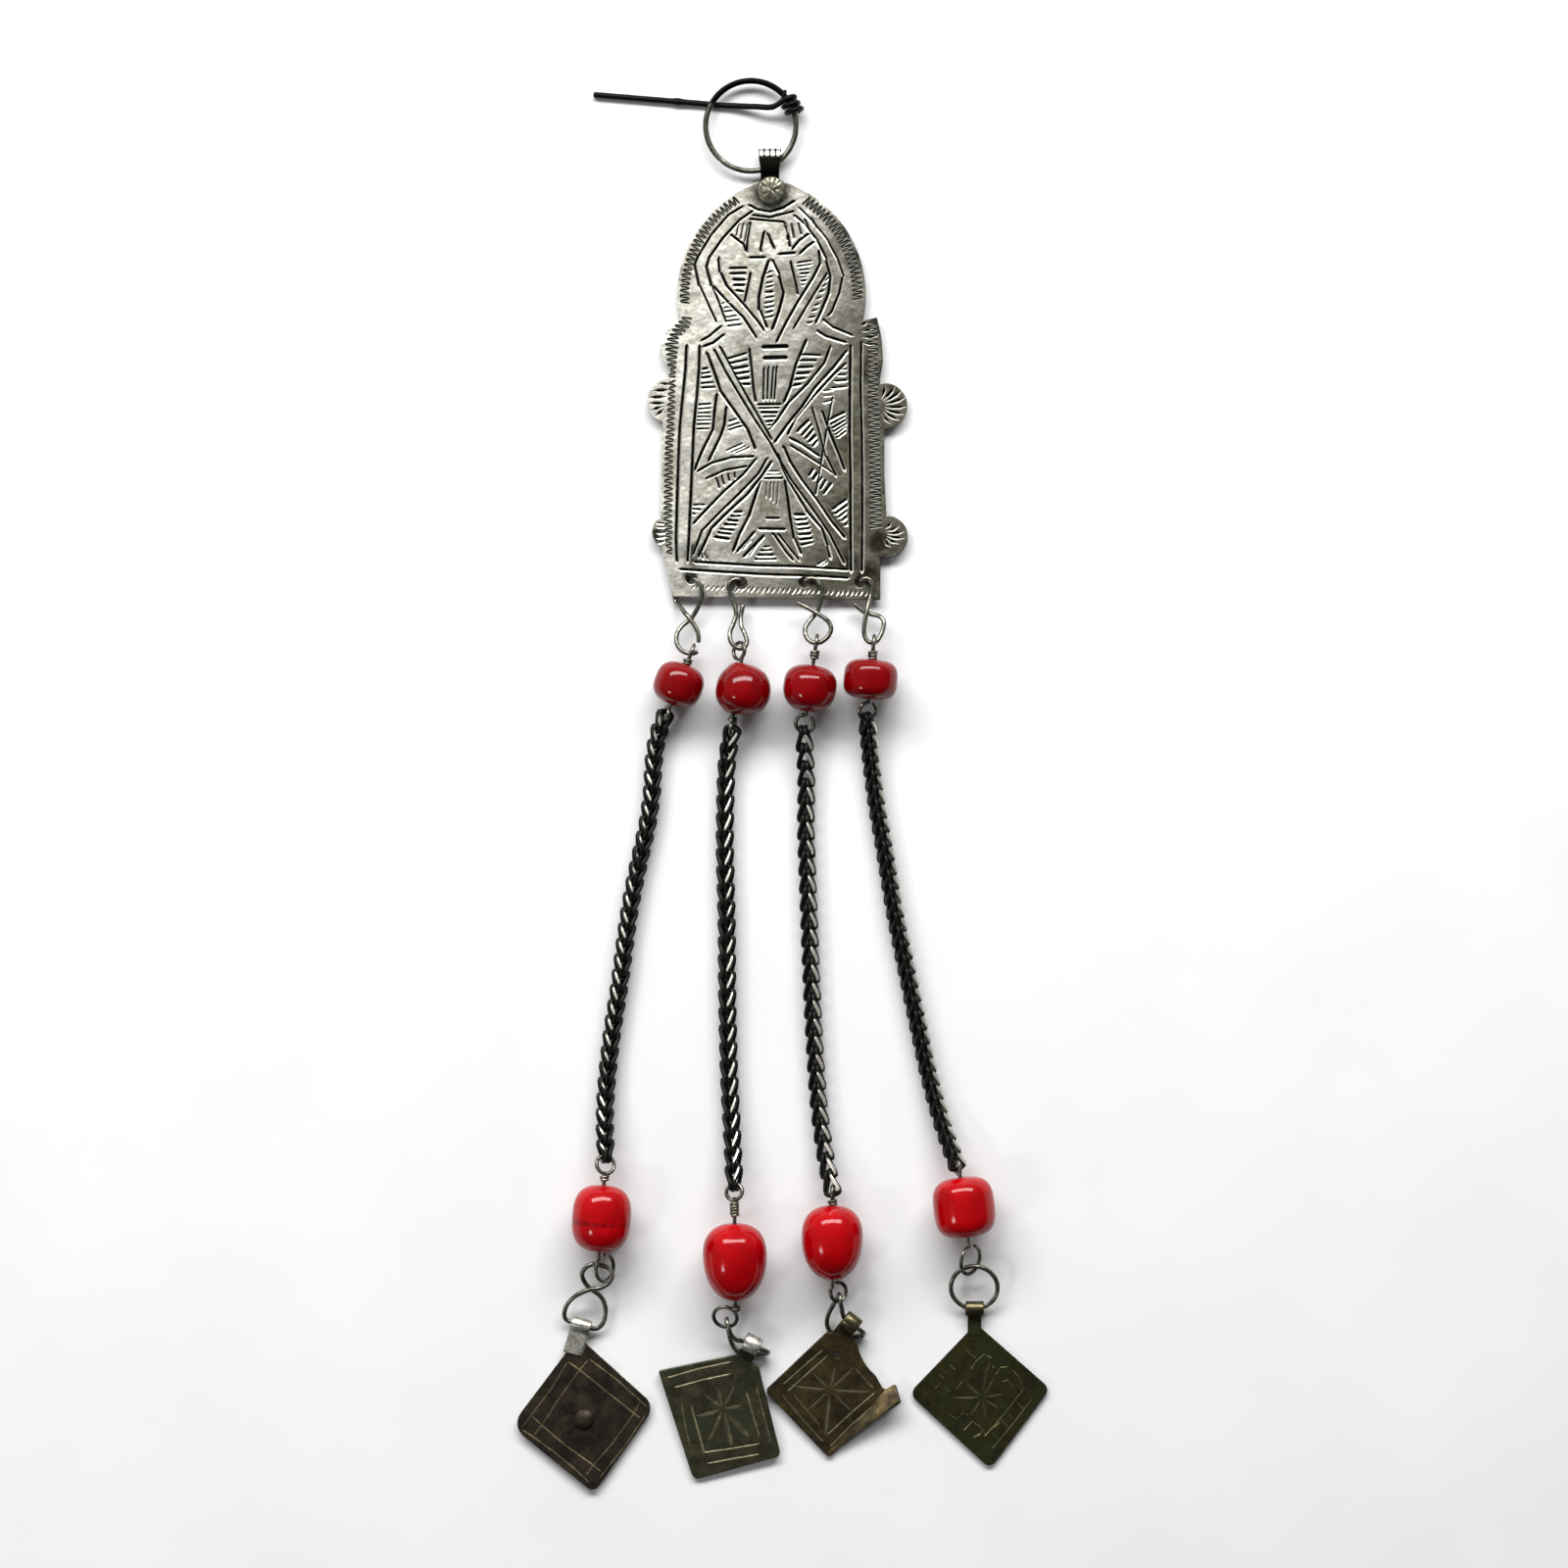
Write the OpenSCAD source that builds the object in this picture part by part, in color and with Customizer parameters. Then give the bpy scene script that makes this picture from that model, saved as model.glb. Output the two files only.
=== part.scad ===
// Temporal ornament: an engraved silver plate on a ring and pin, with four
// strands of hook, glass bead, loop-in-loop chain, glass bead and pendant.
// It lies flat: +Y points to the ring, +Z is the engraved side, the surface is at Z 0.

/* [Plate] */
// Thickness of the engraved plate
plate_t = 0.8; // [0.6:0.1:1]
// Height of the plate's back above the surface
plate_z = 1.05; // [1:0.05:1.3]
// Centre line of the plate
plate_x = -1.9; // [-4:0.1:0]
// Radius of each side of the pointed arch
arch_r = 21.5; // [21:0.1:22]
// Sideways shift of the two arch centres
arch_shift = 4.7; // [4.2:0.1:5.2]
// Radius of the four hook holes
hook_hole_r = 1; // [0.95:0.01:1.1]

/* [Bail and rivet] */
// Thickness of the bail's strap
strap_t = 0.5; // [0.4:0.05:0.6]
// Width of the strap over the ring
bail_w = 4; // [3.5:0.1:4.5]
// Width of the strap where it grips the plate
bail_neck_w = 3.3; // [2.8:0.1:3.5]
// Half the clear height inside the bail
bail_clear = 0.95; // [0.9:0.01:1.1]
// Radius of the rivet's front disc
disc_r = 2.5; // [2:0.1:2.6]
// Radius of the rivet's shaft
rivet_r = 0.8; // [0.6:0.05:1]

/* [Ring and pin] */
// Radius of the suspension ring's centre line
ring_r = 8.05; // [7.5:0.05:8.5]
// Radius of the ring's wire
ring_wire = 0.5; // [0.4:0.01:0.55]
// Height of the ring's centre plane
ring_z = 1.85; // [1.8:0.01:1.95]
// Radius of the pin's wire
pin_r = 0.55; // [0.45:0.01:0.6]
// Place round the ring where the pin's eye sits, in degrees
pin_at = 30; // [15:1:45]
// Radius of the pin's eye
pin_eye_r = 1.2; // [1.16:0.01:1.3]

/* [Wires] */
// Radius of the hooks' wire
hook_wire = 0.42; // [0.35:0.01:0.45]
// Radius of the bead wires' eyes
wire_r = 0.35; // [0.32:0.01:0.36]
// Radius of the bead wires' straight shanks
shank_r = 0.33; // [0.3:0.01:0.34]
// Radius of the thin wire wrapped round a shank
wrap_r = 0.28; // [0.2:0.01:0.3]
// Radius of the drop links' wire
link_wire = 0.42; // [0.35:0.01:0.45]

/* [Beads] */
// Radius of the beads' bore
bore_r = 0.55; // [0.5:0.01:0.8]
// Bands along a bead's profile
bead_steps = 18; // [12:2:30]

/* [Chains] */
// Radius of the chain wire
chain_wire = 0.28; // [0.2:0.01:0.28]
// Half the width of a link at its base
base_half = 1.35; // [1.3:0.01:1.4]
// Half the width between the two eyes of a link
eye_half = 0.36; // [0.36:0.01:0.4]
// Half the height of a link's base
base_rise = 0.38; // [0.34:0.01:0.4]
// Half the height of a link's eye
eye_rise = 1.3; // [1.25:0.01:1.35]
// Half the height of the end of an eye
tip_rise = 0.6; // [0.55:0.01:0.7]
// Reach of an eye past the next link's base
tip_reach = 0.8; // [0.75:0.01:0.9]
// Sides of the chain wire
chain_sides = 5; // [5:1:6]

/* [Pendants] */
// Thickness of the cast pendant
cast_t = 1.3; // [1:0.1:1.6]
// Thickness of the sheet pendants
sheet_t = 0.9; // [0.7:0.1:1.2]
// Slope of the two pendants that lie on their links, in degrees
prop_tilt = 2.7; // [2.5:0.1:3.2]

/* [Hidden] */

silver = "#b9b8ac";
dark_silver = "#6f6e66";
oxide = "#3c3c36";
red_glass = "#b00d12";
bronze = "#5d543a";
brown = "#43382a";

wire_fn = 24;
ring_fn = 64;
fine_gap = 0.05;

// Plate: body outline, then lobes as [x, y, radius], then hook holes
plate_body = [[-17.5, 82.4], [-20.2, 73], [-21.3, 64], [-21.6, 50], [-22, 45], [-21, 39.5],
    [-19.5, 33.4], [17.5, 32.8], [17.5, 40.1], [18.6, 47.7], [18.2, 55], [18.2, 63.2],
    [17.4, 72.1], [18, 75.5], [17.7, 79.5], [16.9, 83.2], [12.4, 82.2]];
arch_y = 87.1;
arch_foot = 80;
plate_lobes = [[-16.5, 77.9, 5.2], [-20, 68.4, 4.1], [18.2, 67.4, 4.1], [-20, 45, 3.2],
    [18.6, 44.1, 3.8]];
hook_holes = [[-16.2, 36.6], [-7.2, 35.7], [3.9, 36], [13.9, 36]];

// Bail: a flattened loop over the ring, whose two leaves grip the plate
rivet_at = [-2, 105.75];
rivet_clear = 0.075;
bail_x = -2.2;
bail_z = 1.7;
bail_low = 109.65;
bail_high = 111.85;
leaf_end = 103.9;
bail_out = bail_clear + strap_t;
slot_z = plate_z - fine_gap;
slot_h = plate_t + 2 * fine_gap;
neck_top = 110;

// Rivet: tail head under the rear leaf, front disc over the front leaf
front_leaf_top = slot_z + slot_h + strap_t;
rear_leaf_low = slot_z - strap_t;
disc_t = 0.6;
tail_r = 1.3;

// Ring and pin
ring_at = [-5.6, 117.3, ring_z];
pin_tip = [-33.5, 123, 0.62];
pin_bend = [-11.2, 121.15, 0.62];
pin_rise = [-1.3, 120.6, 2.7];
pin_point = 0.8;
pin_point_r = 0.28;
pin_knot = 15;
pin_knot_r = 0.72;
pin_knot_l = 0.25;
pin_knot_lift = 0.1;
pin_lap = 0.3;
joint_step = 0.03;

// Hooks: wire points [x, y, z] from the back of the plate, or from the loop's end
hook_paths = [
    [[-14.9, 25.4, 3.8], [-14.9, 26.2, 3.75], [-15.2, 27.4, 3.6], [-16.3, 29.2, 3.4],
        [-17.3, 30.4, 2.9], [-18.3, 31.7, 1.6], [-18.9, 32.3, 0.8], [-19.15, 33.1, 0.5],
        [-19.3, 34.5, 0.5], [-18.8, 35.8, 0.5], [-17.8, 36.5, 0.5], [-16.9, 36.6, 0.5],
        [-16.4, 36.6, 0.7], [-16.2, 36.6, 1.4], [-16, 36.6, 2], [-15.5, 36.4, 2.4],
        [-14.7, 35.6, 2.45], [-14.3, 34.4, 2.45], [-14.5, 32.8, 2.4], [-15.2, 31.1, 2.2],
        [-16.3, 29.4, 2.05], [-17.8, 28.2, 2.3], [-18.7, 26.8, 2.8], [-18.8, 25.2, 3.2],
        [-18.2, 24, 3.5], [-17.2, 23.4, 3.55], [-16.1, 23.2, 3.55], [-15.2, 23.5, 3.6]],
    [[-9, 33.9, 0.5], [-8.7, 35.1, 0.5], [-8, 35.7, 0.5], [-7.4, 35.75, 0.75],
        [-7.15, 35.8, 1.4], [-7.3, 36.1, 2.1], [-8, 36.5, 2.45], [-9, 36.2, 2.5],
        [-9.5, 35.2, 2.5], [-9.1, 33.5, 2.5], [-8.5, 31.8, 2.6], [-8.2, 30.2, 2.9],
        [-8.7, 28.5, 3.3], [-9.3, 27, 3.6], [-9.2, 25.5, 4], [-8.5, 24.5, 4.2],
        [-7.5, 24.1, 4.2], [-6.6, 24.4, 4.1], [-6.3, 25.4, 3.8], [-6.7, 26.8, 3.3],
        [-7.3, 28.2, 2.7], [-7.4, 29.8, 2.1], [-7, 31.8, 1.8]],
    [[2.1, 34.4, 0.5], [2.5, 35.3, 0.5], [3.1, 35.9, 0.5], [3.7, 36.05, 0.75],
        [3.95, 36.1, 1.4], [4.05, 36.25, 2.1], [4.8, 36.6, 2.5], [5.9, 36.5, 2.5],
        [6.8, 35.6, 2.5], [7.1, 34.3, 2.5], [6.9, 32.8, 2.5], [6.5, 31.2, 2.4],
        [5.9, 30.2, 2.3], [5, 29.2, 2.6], [4.2, 28, 3], [4.1, 26.7, 3.4],
        [4.7, 25.6, 3.8], [5.8, 25.1, 4], [7, 25.3, 4], [8.2, 26.3, 3.9],
        [8.7, 27.7, 3.7], [8.1, 29, 3.5], [6.6, 30.1, 3.4], [4.6, 31.3, 3.3],
        [2.6, 32.3, 3.1]],
    [[12.1, 34.4, 0.5], [12.5, 35.3, 0.5], [13.1, 35.9, 0.5], [13.7, 36.05, 0.75],
        [13.95, 36.1, 1.4], [14, 36.25, 2.1], [14.6, 36.6, 2.45], [15.4, 36.5, 2.5],
        [16, 35.6, 2.5], [15.9, 34, 2.55], [15.4, 32.2, 2.9], [15, 30.4, 3.3],
        [14.6, 28.2, 3.5], [14.6, 26.6, 3.7], [15.1, 25.5, 3.95], [16.1, 25.1, 4],
        [17, 25.6, 3.9], [17.8, 27.1, 3.5], [18.1, 28.8, 3.1], [17.4, 29.8, 2.7],
        [16, 30.2, 2.3], [14.7, 30.6, 2.1], [13.9, 31.2, 2.1], [12.9, 32, 2.1]]];
hook_sides = 6;

// Strands: [x, y, heading] of the wire at the bead, heading towards the pendant
// Beads: [diameter, length, squareness, taper, sideways offset from the wire]
// Eyes: [neck end from the bead's centre, radius, turn off the shank, tilt, pitch, wraps]
upper_at = [[-18.4, 17.7, 248.8], [-8, 17, 261.3], [4.9, 17, 262], [15.7, 18.6, 265]];
upper_beads = [[8.75, 7.7, 0.75, 0, 0], [9.8, 9.3, 0.9, -0.06, 1.1],
    [9.45, 8.4, 0.8, 0.05, 0], [9.6, 7.2, 0.62, 0, 0]];
upper_top_eyes = [[5.15, 1.4, 45, 0, 0, 1], [5.6, 1.5, 45, -40, 0, 0],
    [7.1, 1.4, 45, 0, 0, 2], [5.4, 1.4, 45, 0, 0, 2]];
upper_low_eyes = [[4.75, 1.3, 45, -20, 0, 0], [6.35, 1.25, 45, 20, 0, 1],
    [4.8, 1.65, 0, 98, 20, 0], [4.15, 1.6, 0, 70, 20, 0]];
lower_at = [[-32.1, -77.2, 266], [-8.4, -84.9, 270.5], [8.9, -81.5, 270], [32.3, -75.2, 277]];
lower_beads = [[10.5, 11.9, 0.72, 0, 0], [11.3, 13.8, 0.85, 0.14, 0],
    [10.8, 13.3, 0.85, 0.12, 0], [11, 10.7, 0.62, 0, 0]];
lower_top_eyes = [[8, 1.65, 0, 70, 20, 1], [11, 1.5, 0, 110, 20, 4],
    [7.95, 1.2, 45, 8, 0, 1], [6.3, 1.2, 45, -20, 0, 0]];
lower_low_eyes = [[7.3, 2.4, 50, 38, 0, 0], [9, 2.1, 60, -82, 28, 1],
    [7.7, 1.7, 50, 55, 0, 0], [7.1, 2.6, 0, 44, 24, 0]];

// Chains: route between its two eyes, [x, y, z]; links; roll; base towards the plate
chain_routes = [
    [[-22.1, 9, 2.5], [-22.9, 4.4, 1.8], [-23.2, -1, 1.72], [-23.9, -6.5, 1.72],
        [-25.1, -12, 1.72], [-26.4, -18, 1.72], [-27.6, -25, 1.72], [-28.9, -35, 1.72],
        [-30.5, -45.5, 1.72], [-31.4, -54.5, 1.9], [-31.6, -60.5, 2.8]],
    [[-9.6, 6, 2.8], [-10, 1.5, 1.8], [-10.2, -6, 1.72], [-10.2, -13, 1.72],
        [-9.9, -24.5, 1.72], [-9.8, -37.6, 1.72], [-9.5, -50.8, 1.72], [-9.1, -59, 1.9],
        [-8.8, -65, 3]],
    [[4.1, 4.6, 2.7], [4.3, -0.5, 1.8], [4.2, -7, 1.72], [4.4, -14, 1.72],
        [4.8, -24.5, 1.72], [5.2, -35, 1.72], [5.7, -45.5, 1.72], [6.4, -56, 1.75],
        [7, -61.5, 1.95], [7.9, -67.5, 3]],
    [[15.5, 7.5, 2.7], [16.1, 2, 1.8], [16.9, -4, 1.72], [18.2, -11.4, 1.72],
        [19.9, -21.9, 1.72], [22, -32.4, 1.72], [24.2, -42.9, 1.72], [26.3, -52.5, 1.8],
        [28.5, -60.5, 2.8]]];
chain_links = [29, 26, 26, 32];
chain_rolls = [-20, 20, -8, 20];
base_up = [true, true, false, false];
route_steps = 8;
eye_lead = 0.2;
seat = 0.12;
chain_mitre = 1.35;

// Drop links 1 to 3: closed wires [x, y, z]; link 4 is a plain ring
drop_paths = [
    [[-34.2, -89.9, 3.9], [-32.6, -89.7, 4.2], [-31, -88.9, 4.4], [-30.2, -87.5, 4.3],
        [-30.8, -86.2, 4.1], [-32, -85.7, 4.1], [-33.5, -85.4, 4.1], [-34.9, -86, 3.9],
        [-35.6, -87.2, 3.5], [-35.2, -88.7, 3], [-34.2, -89.9, 2.8], [-32.6, -91, 2.5],
        [-31.7, -92.5, 2.2], [-31.5, -94.4, 1.8], [-32, -96.2, 1.5], [-33, -97.1, 1.3],
        [-34.2, -97.05, 1.3], [-35.9, -96.5, 1.3], [-37.7, -95.95, 1.3], [-38.7, -95.3, 1.5],
        [-38.8, -94, 2], [-38.1, -92.4, 2.7], [-36.6, -91, 3.4]],
    [[-9.85, -95.1, 4.4], [-9.8, -95.6, 5], [-9.6, -96.4, 5.3], [-9.3, -97.3, 5.2],
        [-8.9, -98.2, 4.6], [-8.2, -98.9, 3.6], [-7.1, -99.2, 2.85], [-5.4, -99.8, 2.75],
        [-3.8, -100.6, 2.7], [-2.8, -101.1, 2.3], [-2.5, -101.4, 1.5], [-3, -101.6, 0.7],
        [-4.4, -101.7, 0.5], [-6.6, -101.6, 0.5], [-8.2, -101, 0.55], [-9, -99.8, 0.8],
        [-9.4, -98.4, 1.6], [-9.6, -97, 2.55], [-9.85, -95.7, 3.4]],
    [[10.1, -90.7, 4.8], [10.3, -91.2, 5.5], [10.4, -92.2, 5.7], [10.6, -93.2, 5],
        [10.7, -94.1, 3.9], [11.1, -95.1, 2.9], [12.2, -96, 2.75], [13.5, -97, 2.7],
        [14.3, -97.6, 2.3], [14.6, -98, 1.5], [14.2, -98.4, 0.7], [12.8, -98.7, 0.5],
        [10.6, -98.6, 0.5], [8.8, -97.9, 0.5], [8, -96.6, 0.9], [8.1, -95, 1.8],
        [8.7, -93.5, 2.7], [9.4, -92.2, 3.4], [9.9, -91.2, 4]]];
drop_ring = [34.2, -89.7, 2.55];
drop_ring_r = 4.1;
drop_ring_wire = 0.45;
drop_ring_pitch = 16;
drop_sides = 6;

// Pendants: corners and corner radii, in order round the outline
corner_steps = 6;
pendant_1_corners = [[-48.4, -114.5], [-33.6, -126.5], [-22.7, -111], [-36.4, -98.6]];
pendant_1_radii = [3, 1.4, 2.6, 0.6];
pendant_2_corners = [[-22.1, -104.6], [-15.8, -124.2], [-0.2, -119.8], [-4.2, -103.8],
    [-7.8, -101.6]];
pendant_2_radii = [0.4, 1.2, 1, 0.5, 0.5];
pendant_3_corners = [[-3.1, -108.2], [8.4, -120.3], [18.4, -108.5], [12.6, -98.6], [8, -97.6]];
pendant_3_radii = [0.8, 0.8, 0.3, 0.5, 0.5];
pendant_4_corners = [[22.6, -108.8], [37.1, -122.2], [47.8, -107.9], [34.6, -96.3]];
pendant_4_radii = [1.6, 1.3, 1.4, 0.5];
dome_at = [-35.4, -113.5];
dome_r = 2.9;
dome_rise = 0.7;
// The bent-up strip of pendant 3: foot, outline, heading and bend
strip_at = [8.3, -119.6];
strip_outline = [[0, 0], [15, 0], [17.3, -0.8], [15.8, -4], [0.2, -0.5]];
strip_heading = 47.7;
strip_bend = 38;
// The bite out of pendant 3 and its rivet hole
bite_at = [22.6, -98.3];
bite_r = 9.3;
tail_hole_at = [9.7, -101.7];
tail_hole_r = 0.6;

function unit(v) = v / norm(v);
function at_heading(place, z, p) = [
    place.x + p.x * cos(place.z) - p.y * sin(place.z),
    place.y + p.x * sin(place.z) + p.y * cos(place.z),
    z + p.z];

// An eye's centre and its far point, in the strand's own axes
function eye_centre(e) = let (side = e[1] * sin(e[2]), reach = e[1] * cos(e[2]))
    [e[0] + reach * cos(e[4]) - side * cos(e[3]) * sin(e[4]),
        side * sin(e[3]),
        -reach * sin(e[4]) - side * cos(e[3]) * cos(e[4])];
function eye_far(e) = let (reach = 2 * e[1] - seat)
    [e[0] + reach * cos(e[4]), 0, -reach * sin(e[4])];
function flip_x(p) = [-p.x, p.y, p.z];
function bead_z(b) = max([for (p = bead_profile(b)) p.x]) + fine_gap;

function catmull(a, b, c, d, t) = 0.5 * (2 * b + (c - a) * t
    + (2 * a - 5 * b + 4 * c - d) * t * t + (3 * b - a - 3 * c + d) * t * t * t);
function spline(pts) = let (last = len(pts) - 1) [
    for (i = [0 : last - 1], j = [0 : route_steps - 1])
        catmull(pts[max(i - 1, 0)], pts[i], pts[i + 1], pts[min(i + 2, last)], j / route_steps),
    pts[last]];
function lengths(path) = [for (i = 0, s = 0; i < len(path);
    s = s + norm(path[min(i + 1, len(path) - 1)] - path[i]), i = i + 1) s];
function spaced(path, n) = let (s = lengths(path), total = s[len(s) - 1]) [
    for (i = [0 : n]) [for (k = [0 : 2])
        lookup(total * i / n, [for (j = [0 : len(path) - 1]) [s[j], path[j][k]]])]];

// The vector v carried along as the direction a turns to b
function turned(v, a, b) = v - (v * b) / (1 + a * b) * (a + b);

// A round wire swept along points, mitred at each bend
module tube(path, r, sides, closed, mitre) {
    n = len(path);
    prev = [for (i = [0 : n - 1]) closed || i > 0
        ? unit(path[i] - path[(i + n - 1) % n]) : unit(path[1] - path[0])];
    next = [for (i = [0 : n - 1]) closed || i < n - 1
        ? unit(path[(i + 1) % n] - path[i]) : prev[i]];
    along = [for (i = [0 : n - 1]) unit(prev[i] + next[i])];
    first = unit(cross(along[0], abs(along[0].z) < 0.8 ? [0, 0, 1] : [1, 0, 0]));
    normals = [for (i = 0, v = first; i < n; i = i + 1,
        v = i < n ? turned(turned(v, along[i - 1], next[i - 1]), next[i - 1], along[i]) : v) v];
    back = turned(turned(normals[n - 1], along[n - 1], next[n - 1]), next[n - 1], along[0]);
    twist = closed ? atan2(back * cross(along[0], first), back * first) : 0;
    points = [for (i = [0 : n - 1], j = [0 : sides - 1]) let (
        a = 360 * j / sides - twist * i / n,
        v = r * (cos(a) * normals[i] + sin(a) * cross(along[i], normals[i])),
        turn = next[i] - prev[i],
        m = norm(turn) > 0.01 ? unit(turn) : [0, 0, 0],
        k = min(1 / (next[i] * along[i]), mitre))
        path[i] + v + (k - 1) * (v * m) * m];
    bands = closed ? n : n - 1;
    walls = [for (i = [0 : bands - 1], j = [0 : sides - 1]) let (
        a = i * sides + j, b = i * sides + (j + 1) % sides,
        c = (i + 1) % n * sides + j, d = (i + 1) % n * sides + (j + 1) % sides)
        each [[a, c, b], [b, c, d]]];
    caps = closed ? [] : [[for (j = [0 : sides - 1]) j],
        [for (j = [sides - 1 : -1 : 0]) (n - 1) * sides + j]];
    polyhedron(points, concat(walls, caps));
}

module torus(ring, wire) {
    rotate_extrude($fn = ring_fn) translate([ring, 0]) circle(wire, $fn = wire_fn);
}

module rod(a, b, r) {
    v = b - a;
    translate(a) rotate([0, acos(v.z / norm(v)), atan2(v.y, v.x)])
        cylinder(h = norm(v), r = r, $fn = wire_fn);
}

module plate() {
    color(silver) translate([0, 0, plate_z]) linear_extrude(plate_t) difference() {
        union() {
            intersection() {
                translate([plate_x - arch_shift, arch_y]) circle(arch_r, $fn = 120);
                translate([plate_x + arch_shift, arch_y]) circle(arch_r, $fn = 120);
                translate([plate_x - arch_r, arch_foot]) square(2 * arch_r);
            }
            polygon(plate_body);
            for (l = plate_lobes) translate([l.x, l.y]) circle(l.z, $fn = 48);
        }
        for (h = hook_holes) translate(h) circle(hook_hole_r, $fn = wire_fn);
        translate(rivet_at) circle(rivet_r + rivet_clear, $fn = wire_fn);
    }
}

// Side view of the bail: X runs along the ornament's +Y
module bail_side() {
    difference() {
        union() {
            for (y = [bail_low, bail_high]) translate([y, bail_z]) circle(bail_out, $fn = 48);
            translate([bail_low, bail_z - bail_out])
                square([bail_high - bail_low, 2 * bail_out]);
            translate([leaf_end, rear_leaf_low])
                square([bail_low - leaf_end, front_leaf_top - rear_leaf_low]);
        }
        for (y = [bail_low, bail_high]) translate([y, bail_z]) circle(bail_clear, $fn = 48);
        translate([bail_low, bail_z - bail_clear])
            square([bail_high - bail_low, 2 * bail_clear]);
        translate([leaf_end - 1, slot_z]) square([bail_low - leaf_end + 1, slot_h]);
    }
}

module bail() {
    color(dark_silver) difference() {
        intersection() {
            translate([bail_x - bail_w / 2, 0, 0]) rotate([90, 0, 90])
                linear_extrude(bail_w) bail_side();
            linear_extrude(2 * bail_out + 1) union() {
                translate([bail_x - bail_neck_w / 2, leaf_end - 1])
                    square([bail_neck_w, neck_top - leaf_end + 1]);
                polygon([[bail_x - bail_neck_w / 2, neck_top - 1.5],
                    [bail_x + bail_neck_w / 2, neck_top - 1.5],
                    [bail_x + bail_w / 2, neck_top + 1],
                    [bail_x + bail_w / 2, bail_high + bail_out + 1],
                    [bail_x - bail_w / 2, bail_high + bail_out + 1],
                    [bail_x - bail_w / 2, neck_top + 1]]);
            }
        }
        translate([rivet_at.x, rivet_at.y, 0])
            cylinder(h = 2 * bail_out + 1, r = rivet_r + rivet_clear, $fn = wire_fn);
    }
}

module rivet() {
    disc_z = front_leaf_top + fine_gap;
    color(silver) translate([rivet_at.x, rivet_at.y, 0]) {
        translate([0, 0, fine_gap]) cylinder(h = rear_leaf_low - 2 * fine_gap, r = tail_r, $fn = 48);
        translate([0, 0, fine_gap]) cylinder(h = disc_z, r = rivet_r, $fn = wire_fn);
        translate([0, 0, disc_z]) cylinder(h = disc_t, r = disc_r, $fn = 64);
    }
}

module suspension_ring() {
    color(dark_silver) translate(ring_at) torus(ring_r, ring_wire);
}

module hook_pin() {
    eye_at = ring_at + ring_r * [cos(pin_at), sin(pin_at), 0];
    over_ring = eye_at + pin_eye_r * [-cos(pin_at) / 2, -sin(pin_at) / 2, sin(60)];
    heading = atan2(pin_bend.y - pin_tip.y, pin_bend.x - pin_tip.x);
    shaft = norm(pin_bend - pin_tip);
    rise = unit(pin_rise - pin_bend);
    color(oxide) union() {
        translate(pin_tip) rotate([0, 90, heading]) {
            rotate_extrude($fn = wire_fn) polygon([[0, 0], [pin_point_r, 0], [pin_r, pin_point],
                [pin_r, shaft], [0, shaft]]);
            translate([-pin_knot_lift, 0, pin_knot]) rotate_extrude($fn = wire_fn)
                polygon([[0, -2 * pin_knot_l], [pin_knot_r, -pin_knot_l], [pin_knot_r, pin_knot_l],
                    [0, 2 * pin_knot_l]]);
        }
        rod(pin_bend - pin_lap * rise, pin_rise + pin_lap * rise, pin_r - joint_step);
        rod(pin_rise - pin_lap * rise, over_ring, pin_r - 2 * joint_step);
        translate(eye_at) rotate([90, 0, pin_at]) torus(pin_eye_r, pin_r);
    }
}

module hook(i) {
    color(dark_silver) tube(hook_paths[i], hook_wire, hook_sides, false, 1.3);
}

// One eye on the end of a shank that points along +X
module eye(e) {
    side = e[1] * sin(e[2]);
    translate([e[0], 0, 0]) rotate([0, e[4], 0])
        translate([e[1] * cos(e[2]), side * sin(e[3]), -side * cos(e[3])])
            rotate([e[3] + 90, 0, 0]) torus(e[1], wire_r);
    if (e[5] > 0) for (k = [1 : e[5]])
        translate([e[0] - wire_r - k * 2 * (wrap_r - 0.02), 0, 0]) rotate([0, 90, 0])
            torus(shank_r + wrap_r - 0.04, wrap_r);
}

// A bead wire lies along +X with an eye at each end
module bead_wire(place, bead, top, low) {
    color(dark_silver) translate([place.x, place.y, bead_z(bead)]) rotate([0, 0, place.z]) {
        rod([-top[0], 0, 0], [low[0], 0, 0], shank_r);
        mirror([1, 0, 0]) eye(top);
        eye(low);
    }
}

function bead_profile(b) = [for (i = [0 : bead_steps]) let (
    a = 180 * i / bead_steps - 90, s = sin(a), c = max(cos(a), 0))
    [b[0] / 2 * pow(c, b[2]) * (1 - b[3] * s), b[1] / 2 * sign(s) * pow(abs(s), b[2])]];

module bead(place, b) {
    color(red_glass) translate([place.x, place.y, bead_z(b)]) rotate([0, 0, place.z])
        difference() {
            translate([0, b[4], 0]) rotate([0, 90, 0])
                rotate_extrude($fn = 48) polygon(bead_profile(b));
            rotate([0, 90, 0]) cylinder(h = 2 * b[1], r = bore_r, center = true, $fn = wire_fn);
        }
}

// One loop-in-loop link in its own axes: base at 0, the next link's base at pitch p
function link_path(p) = let (q = [[0, base_half, base_rise],
        [p - eye_lead, eye_half, eye_rise], [p + tip_reach, eye_half, tip_rise]]) [
    for (i = [0 : 2]) q[i],
    for (i = [2 : -1 : 0]) [q[i].x, q[i].y, -q[i].z],
    for (i = [0 : 2]) [q[i].x, -q[i].y, -q[i].z],
    for (i = [2 : -1 : 0]) [q[i].x, -q[i].y, q[i].z]];

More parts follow.
